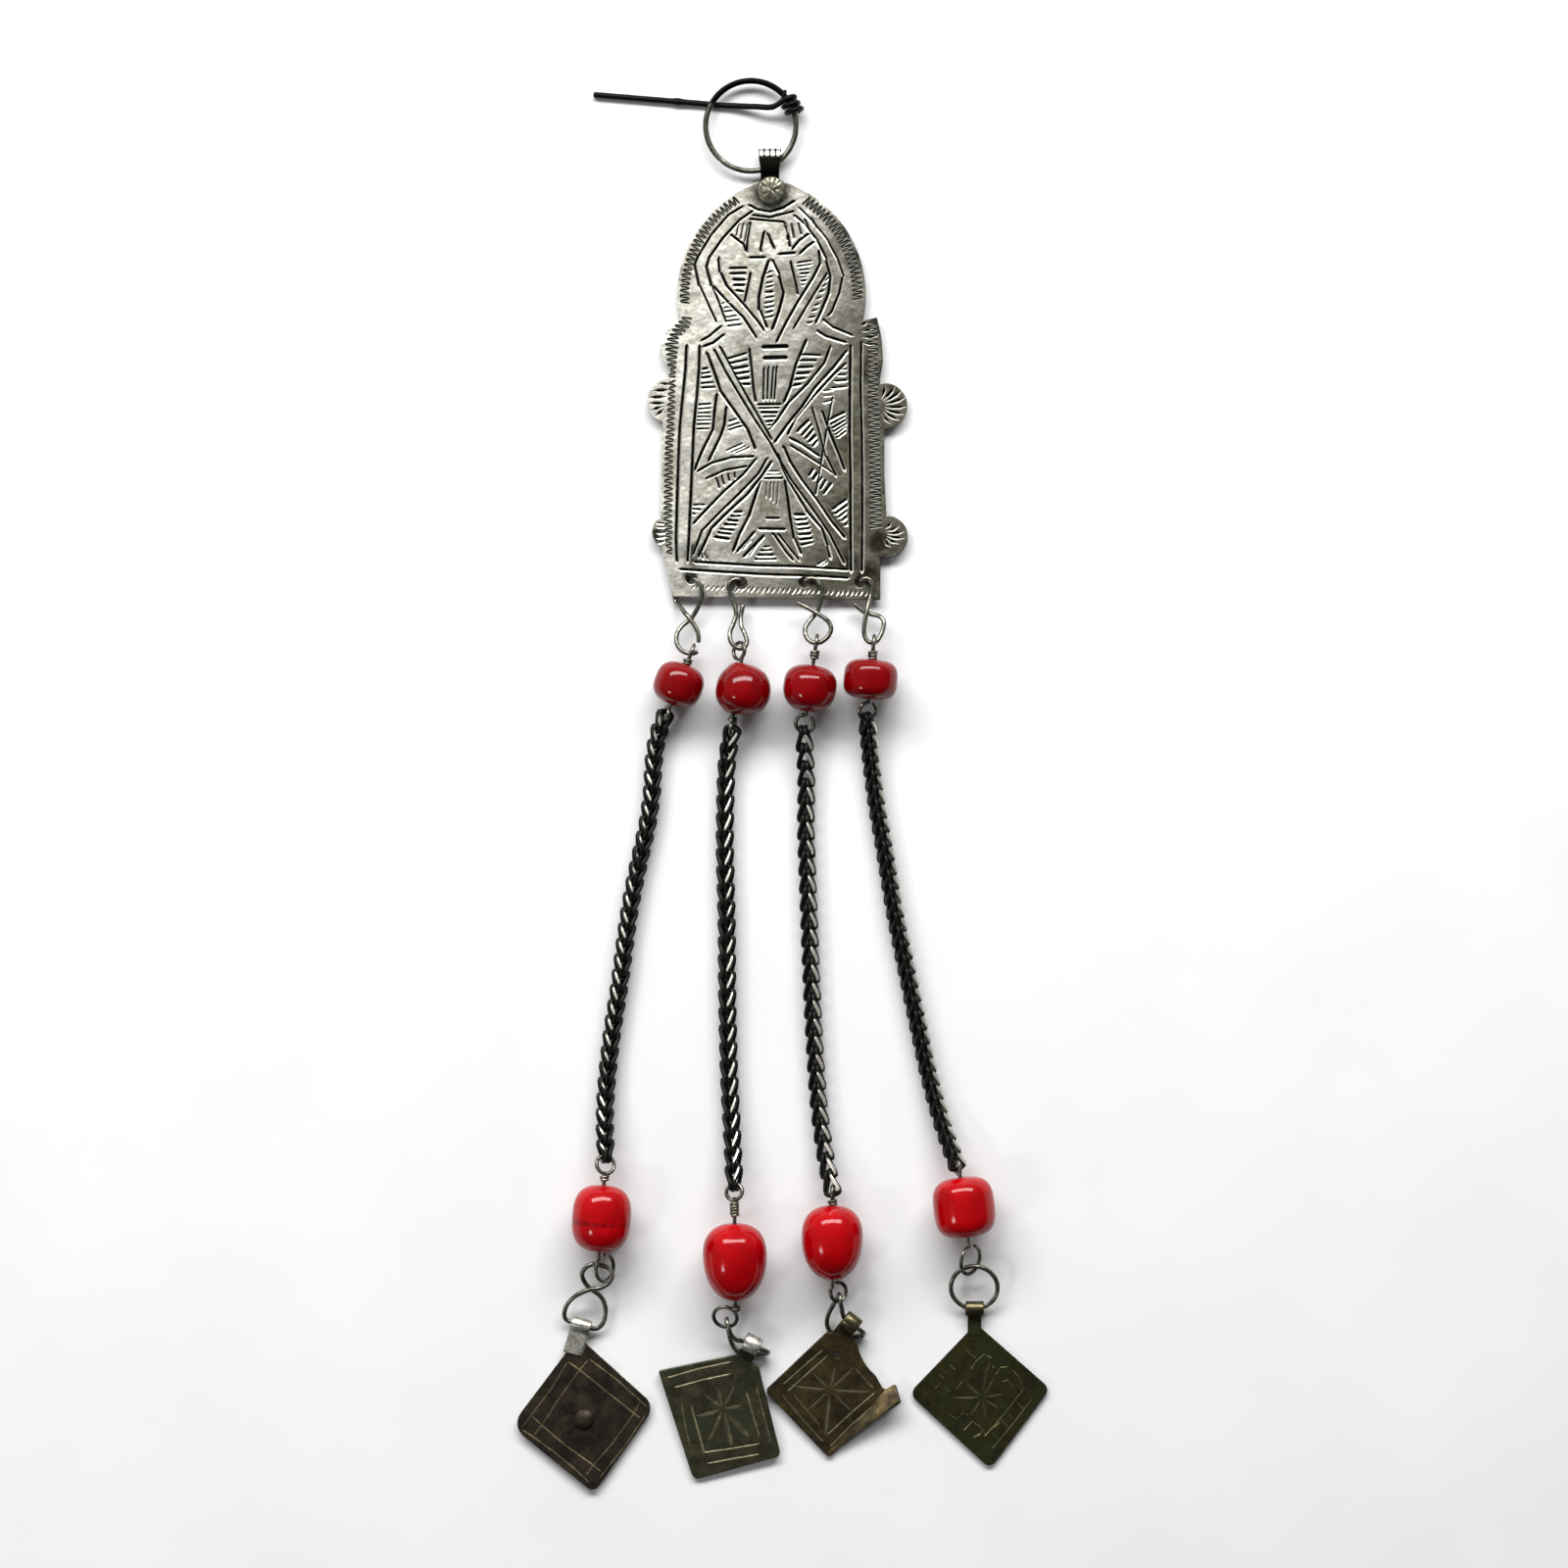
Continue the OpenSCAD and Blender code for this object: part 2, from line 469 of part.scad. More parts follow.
function chain_route(i) = let (
    above = at_heading(upper_at[i], bead_z(upper_beads[i]), base_up[i]
        ? eye_centre(upper_low_eyes[i]) : eye_far(upper_low_eyes[i])),
    below = at_heading(lower_at[i], bead_z(lower_beads[i]), flip_x(base_up[i]
        ? eye_far(lower_top_eyes[i]) : eye_centre(lower_top_eyes[i]))),
    down = concat([above], chain_routes[i], [below]),
    n = len(down))
    base_up[i] ? down : [for (k = [n - 1 : -1 : 0]) down[k]];

module chain(i) {
    stations = spaced(spline(chain_route(i)), chain_links[i]);
    color(oxide) for (k = [0 : chain_links[i] - 1]) {
        step = stations[k + 1] - stations[k];
        f = unit(step);
        flat = unit(cross([0, 0, 1], f));
        up = cross(f, flat);
        w = flat * cos(chain_rolls[i]) + up * sin(chain_rolls[i]);
        h = cross(f, w);
        tube([for (q = link_path(norm(step))) stations[k] + q.x * f + q.y * w + q.z * h],
            chain_wire, chain_sides, true, chain_mitre);
    }
}

module drop_link(i) {
    color(dark_silver)
        if (i < 3) tube(drop_paths[i], link_wire, drop_sides, true, 1.3);
        else translate(drop_ring) rotate([drop_ring_pitch, 0, 0])
            torus(drop_ring_r, drop_ring_wire);
}

// Arc points that round the corner b between a and c
function fillet(a, b, c, r) = let (u = unit(a - b), v = unit(c - b),
    half = acos(u * v) / 2, mid = b + unit(u + v) * r / sin(half),
    p = b + u * r / tan(half) - mid, q = b + v * r / tan(half) - mid,
    start = atan2(p.y, p.x), turn = atan2(q.y, q.x) - start,
    sweep = turn > 180 ? turn - 360 : turn < -180 ? turn + 360 : turn)
    [for (k = [0 : corner_steps]) mid + r * [cos(start + sweep * k / corner_steps),
        sin(start + sweep * k / corner_steps)]];
function rounded(corners, radii) = let (n = len(corners)) [for (k = [0 : n - 1])
    each fillet(corners[(k + n - 1) % n], corners[k], corners[(k + 1) % n], radii[k])];

// Tilt about a point on the surface, rising towards a heading
module propped(foot, heading, slope) {
    translate(foot) rotate([0, 0, heading]) rotate([0, -slope, 0]) rotate([0, 0, -heading])
        translate(-foot) children();
}

// A ribbon bail: a tube for the link, and a neck down to the pendant from low to top
module ribbon(place, heading, tube_out, tube_in, width, neck, neck_w, low, top) {
    translate(place) rotate([0, 0, heading]) difference() {
        union() {
            rotate([0, 90, 0]) cylinder(h = width, r = tube_out, center = true, $fn = 48);
            translate([-neck_w / 2, -neck, low - place.z]) cube([neck_w, neck, top - low]);
        }
        rotate([0, 90, 0]) cylinder(h = 2 * width, r = tube_in, center = true, $fn = 48);
    }
}

module pendant_1() {
    color(brown) union() {
        linear_extrude(cast_t) polygon(rounded(pendant_1_corners, pendant_1_radii));
        intersection() {
            translate([dome_at.x, dome_at.y, cast_t + dome_rise - dome_r])
                sphere(dome_r, $fn = 64);
            translate([dome_at.x - dome_r, dome_at.y - dome_r, cast_t / 2])
                cube([2 * dome_r, 2 * dome_r, dome_r]);
        }
        ribbon([-35.9, -96.5, 1.3], -17, 1.25, 0.85, 3.6, 5.4, 3.4, 0.4, 1.6);
    }
}

module pendant_2() {
    foot = [-15.8, -124, 0];
    color(bronze) union() {
        propped(foot, 64, prop_tilt) linear_extrude(sheet_t)
            polygon(rounded(pendant_2_corners, pendant_2_radii));
        ribbon([-5.4, -99.8, 2.75], -27, 1.65, 1.2, 3, 3.2, 3, 1.2, 1.7);
    }
}

module pendant_3() {
    foot = [8.4, -120, 0];
    color(bronze) union() {
        propped(foot, 82, prop_tilt) union() {
            difference() {
                linear_extrude(sheet_t) polygon(rounded(pendant_3_corners, pendant_3_radii));
                translate([bite_at.x, bite_at.y, -1]) cylinder(h = 4, r = bite_r, $fn = 96);
                translate([tail_hole_at.x, tail_hole_at.y, -1])
                    cylinder(h = 4, r = tail_hole_r, $fn = wire_fn);
            }
            translate([strip_at.x, strip_at.y, 0]) rotate([0, 0, strip_heading])
                rotate([-strip_bend, 0, 0]) linear_extrude(sheet_t) polygon(strip_outline);
        }
        ribbon([12.2, -96, 2.75], -38, 1.65, 1.2, 3, 3.2, 3, 1.2, 1.7);
    }
}

module pendant_4() {
    color(bronze) union() {
        linear_extrude(sheet_t) polygon(rounded(pendant_4_corners, pendant_4_radii));
        ribbon([34.3, -93.55, 1.4], 0, 1.35, 0.95, 3.3, 4.8, 2.4, 0.3, 0.95);
    }
}

plate();
bail();
rivet();
suspension_ring();
hook_pin();
hook(0);  // hook_1
hook(1);  // hook_2
hook(2);  // hook_3
hook(3);  // hook_4
bead_wire(upper_at[0], upper_beads[0], upper_top_eyes[0], upper_low_eyes[0]);  // upper_wire_1
bead_wire(upper_at[1], upper_beads[1], upper_top_eyes[1], upper_low_eyes[1]);  // upper_wire_2
bead_wire(upper_at[2], upper_beads[2], upper_top_eyes[2], upper_low_eyes[2]);  // upper_wire_3
bead_wire(upper_at[3], upper_beads[3], upper_top_eyes[3], upper_low_eyes[3]);  // upper_wire_4
bead(upper_at[0], upper_beads[0]);  // upper_bead_1
bead(upper_at[1], upper_beads[1]);  // upper_bead_2
bead(upper_at[2], upper_beads[2]);  // upper_bead_3
bead(upper_at[3], upper_beads[3]);  // upper_bead_4
chain(0);  // chain_1
chain(1);  // chain_2
chain(2);  // chain_3
chain(3);  // chain_4
bead_wire(lower_at[0], lower_beads[0], lower_top_eyes[0], lower_low_eyes[0]);  // lower_wire_1
bead_wire(lower_at[1], lower_beads[1], lower_top_eyes[1], lower_low_eyes[1]);  // lower_wire_2
bead_wire(lower_at[2], lower_beads[2], lower_top_eyes[2], lower_low_eyes[2]);  // lower_wire_3
bead_wire(lower_at[3], lower_beads[3], lower_top_eyes[3], lower_low_eyes[3]);  // lower_wire_4
bead(lower_at[0], lower_beads[0]);  // lower_bead_1
bead(lower_at[1], lower_beads[1]);  // lower_bead_2
bead(lower_at[2], lower_beads[2]);  // lower_bead_3
bead(lower_at[3], lower_beads[3]);  // lower_bead_4
drop_link(0);  // drop_link_1
drop_link(1);  // drop_link_2
drop_link(2);  // drop_link_3
drop_link(3);  // drop_link_4
pendant_1();
pendant_2();
pendant_3();
pendant_4();
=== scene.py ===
import math
import random

import bmesh
import bpy
from mathutils import Matrix, Vector, noise


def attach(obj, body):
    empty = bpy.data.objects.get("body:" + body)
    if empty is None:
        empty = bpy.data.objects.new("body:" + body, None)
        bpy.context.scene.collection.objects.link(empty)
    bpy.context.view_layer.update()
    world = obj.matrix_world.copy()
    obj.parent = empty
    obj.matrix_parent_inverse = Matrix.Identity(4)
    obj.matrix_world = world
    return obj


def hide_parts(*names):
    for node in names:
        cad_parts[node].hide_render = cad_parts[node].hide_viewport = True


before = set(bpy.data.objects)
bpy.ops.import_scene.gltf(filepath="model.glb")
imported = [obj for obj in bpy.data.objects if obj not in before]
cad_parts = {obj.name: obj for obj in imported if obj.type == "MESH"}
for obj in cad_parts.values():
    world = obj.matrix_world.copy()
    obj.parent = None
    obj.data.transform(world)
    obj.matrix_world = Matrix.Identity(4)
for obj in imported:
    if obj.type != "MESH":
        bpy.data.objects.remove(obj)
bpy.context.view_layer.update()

mm = 0.001  # lengths below are in millimetres, and each finished mesh is scaled to metres
print("frame loaded")


# Small helpers

def linearColour(hexCode):
    channels = []
    for i in (1, 3, 5):
        c = int(hexCode[i:i + 2], 16) / 255
        channels.append(c / 12.92 if c <= 0.04045 else ((c + 0.055) / 1.055) ** 2.4)
    return (*channels, 1.0)


def addNode(tree, kind, inputs=None, stops=(), **settings):
    # An input is a node, whose first output is linked, or a socket, or a hex colour, or a plain value
    node = tree.nodes.new("ShaderNode" + kind)
    for name, value in settings.items():
        setattr(node, name, value)
    for socket, value in (inputs or {}).items():
        if isinstance(value, bpy.types.Node):
            tree.links.new(value.outputs[0], node.inputs[socket])
        elif isinstance(value, bpy.types.NodeSocket):
            tree.links.new(value, node.inputs[socket])
        else:
            node.inputs[socket].default_value = linearColour(value) if isinstance(value, str) else value
    if stops:
        for element, (place, colour) in zip(node.color_ramp.elements, stops):
            element.position, element.color = place, linearColour(colour)
    return node


def perMetre(millimetres):
    return 1 / (millimetres * mm)  # noise scale whose features are about this long


def ramped(value, start, length):
    return min(max((value - start) / length, 0), 1)


def smoothPath(points, steps, closed=False):
    points = [Vector(p) for p in points]
    count = len(points)
    path = []
    for i in range(count if closed else count - 1):
        around = [i - 1, i, i + 1, i + 2]
        a, b, c, d = [points[k % count] if closed else points[min(max(k, 0), count - 1)] for k in around]
        for j in range(steps):
            t = j / steps
            path.append(0.5 * (2 * b + (c - a) * t + (2 * a - 5 * b + 4 * c - d) * t * t
                               + (3 * b - a - 3 * c + d) * t ** 3))
    return path if closed else path + [points[-1]]


def directions(path, closed=False):
    count = len(path)
    tangents = []
    for i in range(count):
        ahead = path[(i + 1) % count] if closed or i < count - 1 else path[i]
        behind = path[i - 1] if closed or i > 0 else path[i]
        tangents.append((ahead - behind).normalized())
    return tangents


def turned(v, a, b):
    return v - v.dot(b) / (1 + a.dot(b)) * (a + b)  # v carried along as the direction a turns to b


def pathFrames(path, closed, side):
    tangents = directions(path, closed)
    normals = [Vector(side) if side else tangents[0].orthogonal().normalized()]
    for a, b in zip(tangents, tangents[1:]):
        normals.append(turned(normals[-1], a, b).normalized())
    twist = 0
    if closed:
        back = turned(normals[-1], tangents[-1], tangents[0])
        twist = math.atan2(back.dot(tangents[0].cross(normals[0])), back.dot(normals[0]))
    frames = []
    for i, (along, normal) in enumerate(zip(tangents, normals)):
        across = Matrix.Rotation(-twist * i / len(path), 3, along) @ normal
        rows = Matrix((across, along.cross(across), along)).transposed().to_4x4()
        frames.append(Matrix.Translation(path[i]) @ rows)
    return frames


def circleSection(radius, sides):
    return [(radius * math.cos(math.tau * k / sides), radius * math.sin(math.tau * k / sides))
            for k in range(sides)]


def sweepPlaces(places, section, closed=False):
    # The section is extruded from place to place, then its ends are joined or capped
    bm = bmesh.new()
    verts = [bm.verts.new((x, y, 0)) for x, y in section]
    ring = first = [bm.edges.new((verts[k - 1], verts[k])) for k in range(len(verts))]
    bmesh.ops.transform(bm, matrix=places[0], verts=verts)
    for before, after in zip(places, places[1:]):
        grown = bmesh.ops.extrude_edge_only(bm, edges=ring)["geom"]
        verts = [g for g in grown if isinstance(g, bmesh.types.BMVert)]
        fresh = set(verts)
        ring = [g for g in grown if isinstance(g, bmesh.types.BMEdge) and set(g.verts) <= fresh]
        bmesh.ops.transform(bm, matrix=after @ before.inverted(), verts=verts)
    if closed:
        bmesh.ops.bridge_loops(bm, edges=first + ring)
    else:
        for end in (first, ring):
            bmesh.ops.contextual_create(bm, geom=end)
    bmesh.ops.recalc_face_normals(bm, faces=bm.faces)
    return bm


def sweep(path, section, closed=False, scales=None, side=None, roundEnd=0.0):
    places = []
    for spot, scale in zip(pathFrames(path, closed, side), scales or [1.0] * len(path)):
        x, y = scale if isinstance(scale, tuple) else (scale, scale)
        places.append(spot @ Matrix.Diagonal((x, y, 1, 1)))
    if roundEnd:  # a domed end of this radius
        for end, sign in ((0, -1), (-1, 1)):
            dome = []
            for angle in (25, 50, 72):
                shift = Matrix.Translation((0, 0, sign * roundEnd * math.sin(math.radians(angle))))
                slim = math.cos(math.radians(angle))
                dome.append(places[end] @ shift @ Matrix.Diagonal((slim, slim, 1, 1)))
            places = dome[::-1] + places if end == 0 else places + dome
    return sweepPlaces(places, section, closed)


def spinMesh(profile, axis, steps, closed):
    bm = bmesh.new()
    verts = [bm.verts.new(p) for p in profile]
    edges = [bm.edges.new((verts[k - 1], verts[k])) for k in range(0 if closed else 1, len(verts))]
    bmesh.ops.spin(bm, geom=verts + edges, cent=(0, 0, 0), axis=axis, angle=math.tau, steps=steps,
                   use_merge=True)
    bmesh.ops.remove_doubles(bm, verts=bm.verts, dist=0.001)
    return bm


def addTo(bm, part):
    mesh = bpy.data.meshes.new("part")
    part.to_mesh(mesh)
    part.free()
    bm.from_mesh(mesh)
    bpy.data.meshes.remove(mesh)


def nodeMesh(node, rimBevel):
    bm = bmesh.new()
    bm.from_mesh(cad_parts[node].data)
    bmesh.ops.remove_doubles(bm, verts=bm.verts, dist=0.002 * mm)
    bmesh.ops.recalc_face_normals(bm, faces=bm.faces)
    bmesh.ops.scale(bm, vec=(1 / mm, 1 / mm, 1 / mm), verts=bm.verts)
    bmesh.ops.dissolve_limit(bm, angle_limit=math.radians(0.5), verts=bm.verts, edges=bm.edges)
    rim = [e for e in bm.edges if len(e.link_faces) == 2 and e.calc_face_angle(0) > 1.2]
    bmesh.ops.bevel(bm, geom=rim, offset=rimBevel, offset_type="OFFSET", segments=2, profile=0.5,
                    affect="EDGES", material=-1)
    return bm


def newObject(name, bm, materials):
    mesh = bpy.data.meshes.new(name)
    bm.to_mesh(mesh)
    bm.free()
    for material in materials:
        mesh.materials.append(material)
    thing = bpy.data.objects.new(name, mesh)
    bpy.context.collection.objects.link(thing)
    return thing


def finishPiece(bm, name, materials, body, slot, *nodes, sharp=60, flatUp=None, smoothSlots=()):
    bmesh.ops.scale(bm, vec=(mm, mm, mm), verts=bm.verts)
    piece = newObject(name, bm, materials)
    piece.data.shade_smooth()
    piece.data.set_sharp_from_angle(angle=math.radians(sharp))
    if flatUp:  # a carved sheet: its face and cuts stay flat, only rims and domes are shaded smooth
        for polygon in piece.data.polygons:
            polygon.use_smooth = polygon.material_index in smoothSlots and polygon.normal.dot(flatUp) < 0.995
    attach(piece, body)
    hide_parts(*nodes)


# Materials

def newMaterial(name, metallic=0.0, roughness=0.5):
    material = bpy.data.materials.new(name)
    material.use_nodes = True
    tree = material.node_tree
    shader = tree.nodes["Principled BSDF"]
    shader.inputs["Metallic"].default_value = metallic
    shader.inputs["Roughness"].default_value = roughness
    return material, tree, shader, addNode(tree, "TexCoord").outputs["Object"]


def paint(tree, shader, share, stops, sheen=None):
    # The share runs between two colours, and where sheen is given, between two roughnesses
    tone = addNode(tree, "ValToRGB", {"Fac": share}, stops)
    tree.links.new(tone.outputs["Color"], shader.inputs["Base Color"])
    if sheen:
        low, high, dull, glossy = sheen
        rough = addNode(tree, "MapRange", {"Value": share, "From Min": low, "From Max": high, "To Min": dull,
                                           "To Max": glossy})
        tree.links.new(rough.outputs["Result"], shader.inputs["Roughness"])


def tint(tree, shader, share, colour):
    # The colour covers what the shader has, by the share
    base = shader.inputs["Base Color"]
    mixed = addNode(tree, "Mix", {"Factor": share, 6: base.links[0].from_socket, 7: colour}, data_type="RGBA")
    tree.links.new(mixed.outputs[2], base)


def roughen(tree, shader, place, size, detail, coarse, strength, depth):
    # Bumps of this size and depth, on top of those that the shader has
    bumps = addNode(tree, "TexNoise", {"Vector": place, "Scale": perMetre(size), "Detail": detail,
                                       "Roughness": coarse})
    normal = shader.inputs["Normal"]
    under = {"Normal": normal.links[0].from_socket} if normal.links else {}
    bump = addNode(tree, "Bump", {"Height": bumps, "Strength": strength, "Distance": depth * mm, **under})
    tree.links.new(bump.outputs["Normal"], normal)


def tarnishedSilver(name, bright, dark, patch, amount, rough, dent=0.1, sag=0.0):
    # Hammered silver of about 900 fineness: grey, softly polished, with sulphide tarnish in patches
    material, tree, shader, place = newMaterial(name, 1.0)
    broad = addNode(tree, "TexNoise", {"Vector": place, "Scale": perMetre(patch), "Detail": 6.0,
                                       "Roughness": 0.62})
    spots = addNode(tree, "TexNoise", {"Vector": place, "Scale": perMetre(patch / 6), "Detail": 4.0,
                                       "Roughness": 0.7})
    mixed = addNode(tree, "Math", {0: broad, 1: spots}, operation="MULTIPLY")
    paint(tree, shader, mixed, [(0.25 - 0.12 * amount, dark), (0.34, bright)], (0.15, 0.35, rough[1], rough[0]))
    if sag:
        roughen(tree, shader, place, 12, 2.0, 0.5, 1.0, sag)
    roughen(tree, shader, place, 2.6, 2.0, 0.5, 1.0, dent)  # hammer marks
    roughen(tree, shader, place, 0.35, 3.0, 0.6, 0.6, 0.025)
    return material


plateLook = {
    "left": "#f0eee5", "right": "#727064", "shadeAndGrime": "#2e2c24", "cutTop": 1.85, "cutDeep": 0.2,
    # where the sheet is darkened by painted shade and grime, in x, y and reach, from the rivet down to the
    # lower corners
    "shadeAndGrimeSpots": [(-2, 105.6, 5.4), (-15.4, 40.6, 3.6), (11.6, 40, 3.4), (15.6, 37.4, 3.2), (-8, 36.6, 2.2),
                   (4.4, 36.6, 2.2), (14.4, 36.8, 2.2), (-16.4, 37.2, 2), (17.2, 82, 3), (15.8, 74, 3.6),
                   (17.6, 43, 4), (-21.6, 44.4, 3), (-19.6, 92, 2.4), (13, 93.4, 3),
                   (11, 98.6, 3)],
}


def engravedSilver():
    # The plate's sheet silver: a painted reflection makes it brighter towards its left edge and duller to the
    # right; painted shade round the rivet and grime in the corners darken it
    material = tarnishedSilver("engraved silver sheet", "#ffffff", "#a3a195", 6, 0.9, (0.44, 0.56), 0.24, 0.9)
    tree = material.node_tree
    shader = tree.nodes["Principled BSDF"]
    tone = shader.inputs["Base Color"].links[0].from_socket
    place = addNode(tree, "TexCoord").outputs["Object"]
    # painted reflection: the colour runs from bright at the left edge to dull at the right
    split = addNode(tree, "SeparateXYZ", {"Vector": place})
    sloped = addNode(tree, "Math", {0: split.outputs["Y"], 1: -0.22, 2: split.outputs["X"]},
                     operation="MULTIPLY_ADD")
    side = addNode(tree, "MapRange", {"Value": sloped, "From Min": -36 * mm, "From Max": 4 * mm})
    sheet = addNode(tree, "ValToRGB", {"Fac": side}, [(0.1, plateLook["left"]), (0.85, plateLook["right"])])
    toned = addNode(tree, "Mix", {0: 1.0, 6: sheet, 7: tone}, data_type="RGBA", blend_type="MULTIPLY")
    tree.links.new(toned.outputs[2], shader.inputs["Base Color"])
    shadedGrimy = None
    for x, y, reach in plateLook["shadeAndGrimeSpots"]:
        away = addNode(tree, "VectorMath", {0: place, 1: (x * mm, y * mm, 1.9 * mm)}, operation="DISTANCE")
        near = addNode(tree, "MapRange", {"Value": away.outputs["Value"], "From Min": reach * mm,
                                          "From Max": 0.35 * reach * mm})
        shadedGrimy = addNode(tree, "Math", {0: near, 1: shadedGrimy}, operation="MAXIMUM") if shadedGrimy else near
    blotch = addNode(tree, "TexNoise", {"Vector": place, "Scale": perMetre(2.2), "Detail": 4.0,
                                        "Roughness": 0.7})
    patchy = addNode(tree, "Math", {0: shadedGrimy, 1: blotch}, operation="MULTIPLY")
    share = addNode(tree, "MapRange", {"Value": patchy, "From Min": 0.12, "From Max": 0.5})
    # painted shade round the rivet and grime darken the sheet near these spots
    tint(tree, shader, share, plateLook["shadeAndGrime"])
    return material


def overTop(material, low, high, colour, reeded=False):
    # The colour covers what is above this Y, and on a reeded strap only its crests
    tree = material.node_tree
    split = addNode(tree, "SeparateXYZ", {"Vector": addNode(tree, "TexCoord").outputs["Object"]})
    share = addNode(tree, "MapRange", {"Value": split.outputs["Y"], "From Min": low * mm,
                                       "From Max": high * mm})
    if reeded:
        wave = addNode(tree, "Math", {0: split.outputs["X"], 1: math.pi / mm, 2: 0.2 * math.pi},
                       operation="MULTIPLY_ADD")
        sine = addNode(tree, "Math", {0: wave}, operation="SINE")
        reeds = addNode(tree, "Math", {0: sine}, operation="ABSOLUTE")
        crest = addNode(tree, "MapRange", {"Value": reeds, "From Min": 0.3, "From Max": 0.75})
        share = addNode(tree, "Math", {0: share, 1: crest}, operation="MULTIPLY")
    tint(tree, tree.nodes["Principled BSDF"], share, colour)
    return material


def cutSilver(name, bright, dark, worn, rough):
    # Graver cuts: clean silver at the top of each wall, black sulphide left at the bottom
    material, tree, shader, place = newMaterial(name, 1.0, rough)
    cutTop = plateLook["cutTop"] * mm
    cutLow = cutTop - plateLook["cutDeep"] * mm
    split = addNode(tree, "SeparateXYZ", {"Vector": place})
    height = addNode(tree, "MapRange", {"Value": split.outputs["Z"], "From Min": cutLow,
                                        "From Max": cutTop})
    dirt = addNode(tree, "TexNoise", {"Vector": place, "Scale": perMetre(1.5), "Detail": 3.0, "Roughness": 0.6})
    share = addNode(tree, "Math", {0: dirt, 1: 0.6, 2: height}, operation="MULTIPLY_ADD")
    paint(tree, shader, share, [(worn, dark), (worn + 0.25, bright)])
    return material


def blackenedMetal(name, dark, worn, shine, patch, attribute=None, metallic=0.85):
    # Drawn wire under a thick coat of dark oxide, rubbed bright in patches; where an attribute is given, it
    # adds painted highlights and wear
    material, tree, shader, place = newMaterial(name, metallic)
    share = addNode(tree, "TexNoise", {"Vector": place, "Scale": perMetre(patch), "Detail": 5.0,
                                       "Roughness": 0.65})
    if attribute:
        rubbedAndLit = addNode(tree, "Attribute", attribute_name=attribute)
        share = addNode(tree, "Math", {0: rubbedAndLit.outputs["Fac"], 1: share}, operation="MULTIPLY")
    paint(tree, shader, share, [(shine, dark), (min(shine + 0.16, 1), worn)],
          (shine - 0.1, shine + 0.2, 0.46, 0.26))
    roughen(tree, shader, place, 0.5, 3.0, 0.6, 0.7, 0.04)
    return material


def redGlass(name, deep, clear):
    # Opaque wound glass: smooth and glossy, with a faint orange-peel and paler flecks under the surface
    material, tree, shader, place = newMaterial(name, 0.0, 0.13)
    cloud = addNode(tree, "TexNoise", {"Vector": place, "Scale": perMetre(4), "Detail": 3.0, "Roughness": 0.5})
    paint(tree, shader, cloud, [(0.35, deep), (0.62, clear)])
    fleck = addNode(tree, "TexNoise", {"Vector": place, "Scale": perMetre(0.45), "Detail": 2.0,
                                       "Roughness": 0.7})
    few = addNode(tree, "MapRange", {"Value": fleck, "From Min": 0.72, "From Max": 0.8})
    tint(tree, shader, few, "#d84a4c")
    tint(tree, shader, addNode(tree, "Attribute", attribute_name="seam").outputs["Fac"], "#4d0306")
    shader.inputs["IOR"].default_value = 1.52
    shader.inputs["Specular IOR Level"].default_value = 0.27
    roughen(tree, shader, place, 1.1, 2.0, 0.5, 0.5, 0.03)
    return material


def patinatedBronze(name, ground, worn, green, greenShare, rough=0.42):
    # Old copper alloy: brown oxide with olive high spots and, on one pendant, a green crust
    material, tree, shader, place = newMaterial(name, 0.75)
    patches = addNode(tree, "TexNoise", {"Vector": place, "Scale": perMetre(3.2), "Detail": 7.0,
                                         "Roughness": 0.68})
    paint(tree, shader, patches, [(0.42, ground), (0.68, worn)], (0.3, 0.7, rough + 0.15, rough - 0.08))
    crust = addNode(tree, "TexNoise", {"Vector": place, "Scale": perMetre(5.5), "Detail": 5.0,
                                       "Roughness": 0.7})
    share = addNode(tree, "MapRange", {"Value": crust, "From Min": 0.62 - 0.2 * greenShare,
                                       "From Max": 0.78 - 0.2 * greenShare})
    tint(tree, shader, share, green)
    roughen(tree, shader, place, 0.9, 5.0, 0.65, 0.8, 0.07)
    return material


plateSilver = engravedSilver()
# two copies of the cut material: the dark one is painted shade on walls facing away from the light, the pale
# one is for lit walls
shadedCuts = cutSilver("shaded walls of graver cuts", "#8d8b80", "#0b0a08", 0.95, 0.5)
litCuts = cutSilver("bright walls of graver cuts", "#dad8cd", "#1b1a16", 0.4, 0.4)
# the bail's strap is nearly black, with a painted highlight on the crests of its reeds over its top edge
bailSilverHighlit = overTop(tarnishedSilver("dark silver strap with a painted highlight", "#26251f", "#070605", 2.0, 1.2, (0.26, 0.45)),
                     111.6, 112.5, "#e6e5dd", reeded=True)
rivetSilver = tarnishedSilver("worn silver rivet", "#8f8e7b", "#3f3e35", 3, 0.6, (0.32, 0.5), 0.25)
wireSilver = tarnishedSilver("drawn silver wire", "#8f8e82", "#2a2923", 3.5, 0.9, (0.24, 0.42), 0.05)
# the ring's top arc is coloured black
ringSilver = overTop(tarnishedSilver("drawn silver wire with a black arc", "#7b7a6f", "#1d1c18", 3.5, 1.1,
                                     (0.24, 0.42), 0.05), 120.6, 121.6, "#0d0c0a")
pinBlack = blackenedMetal("blackened pin wire", "#0b0a09", "#5a584f", 0.62, 5)
# the chain's near-white crests are painted highlights with some wear, set by an attribute on each link
chainBlack = blackenedMetal("blackened silver chain", "#141411", "#f0edde", 0.22, 2.2, "wearAndHighlight", 0.75)
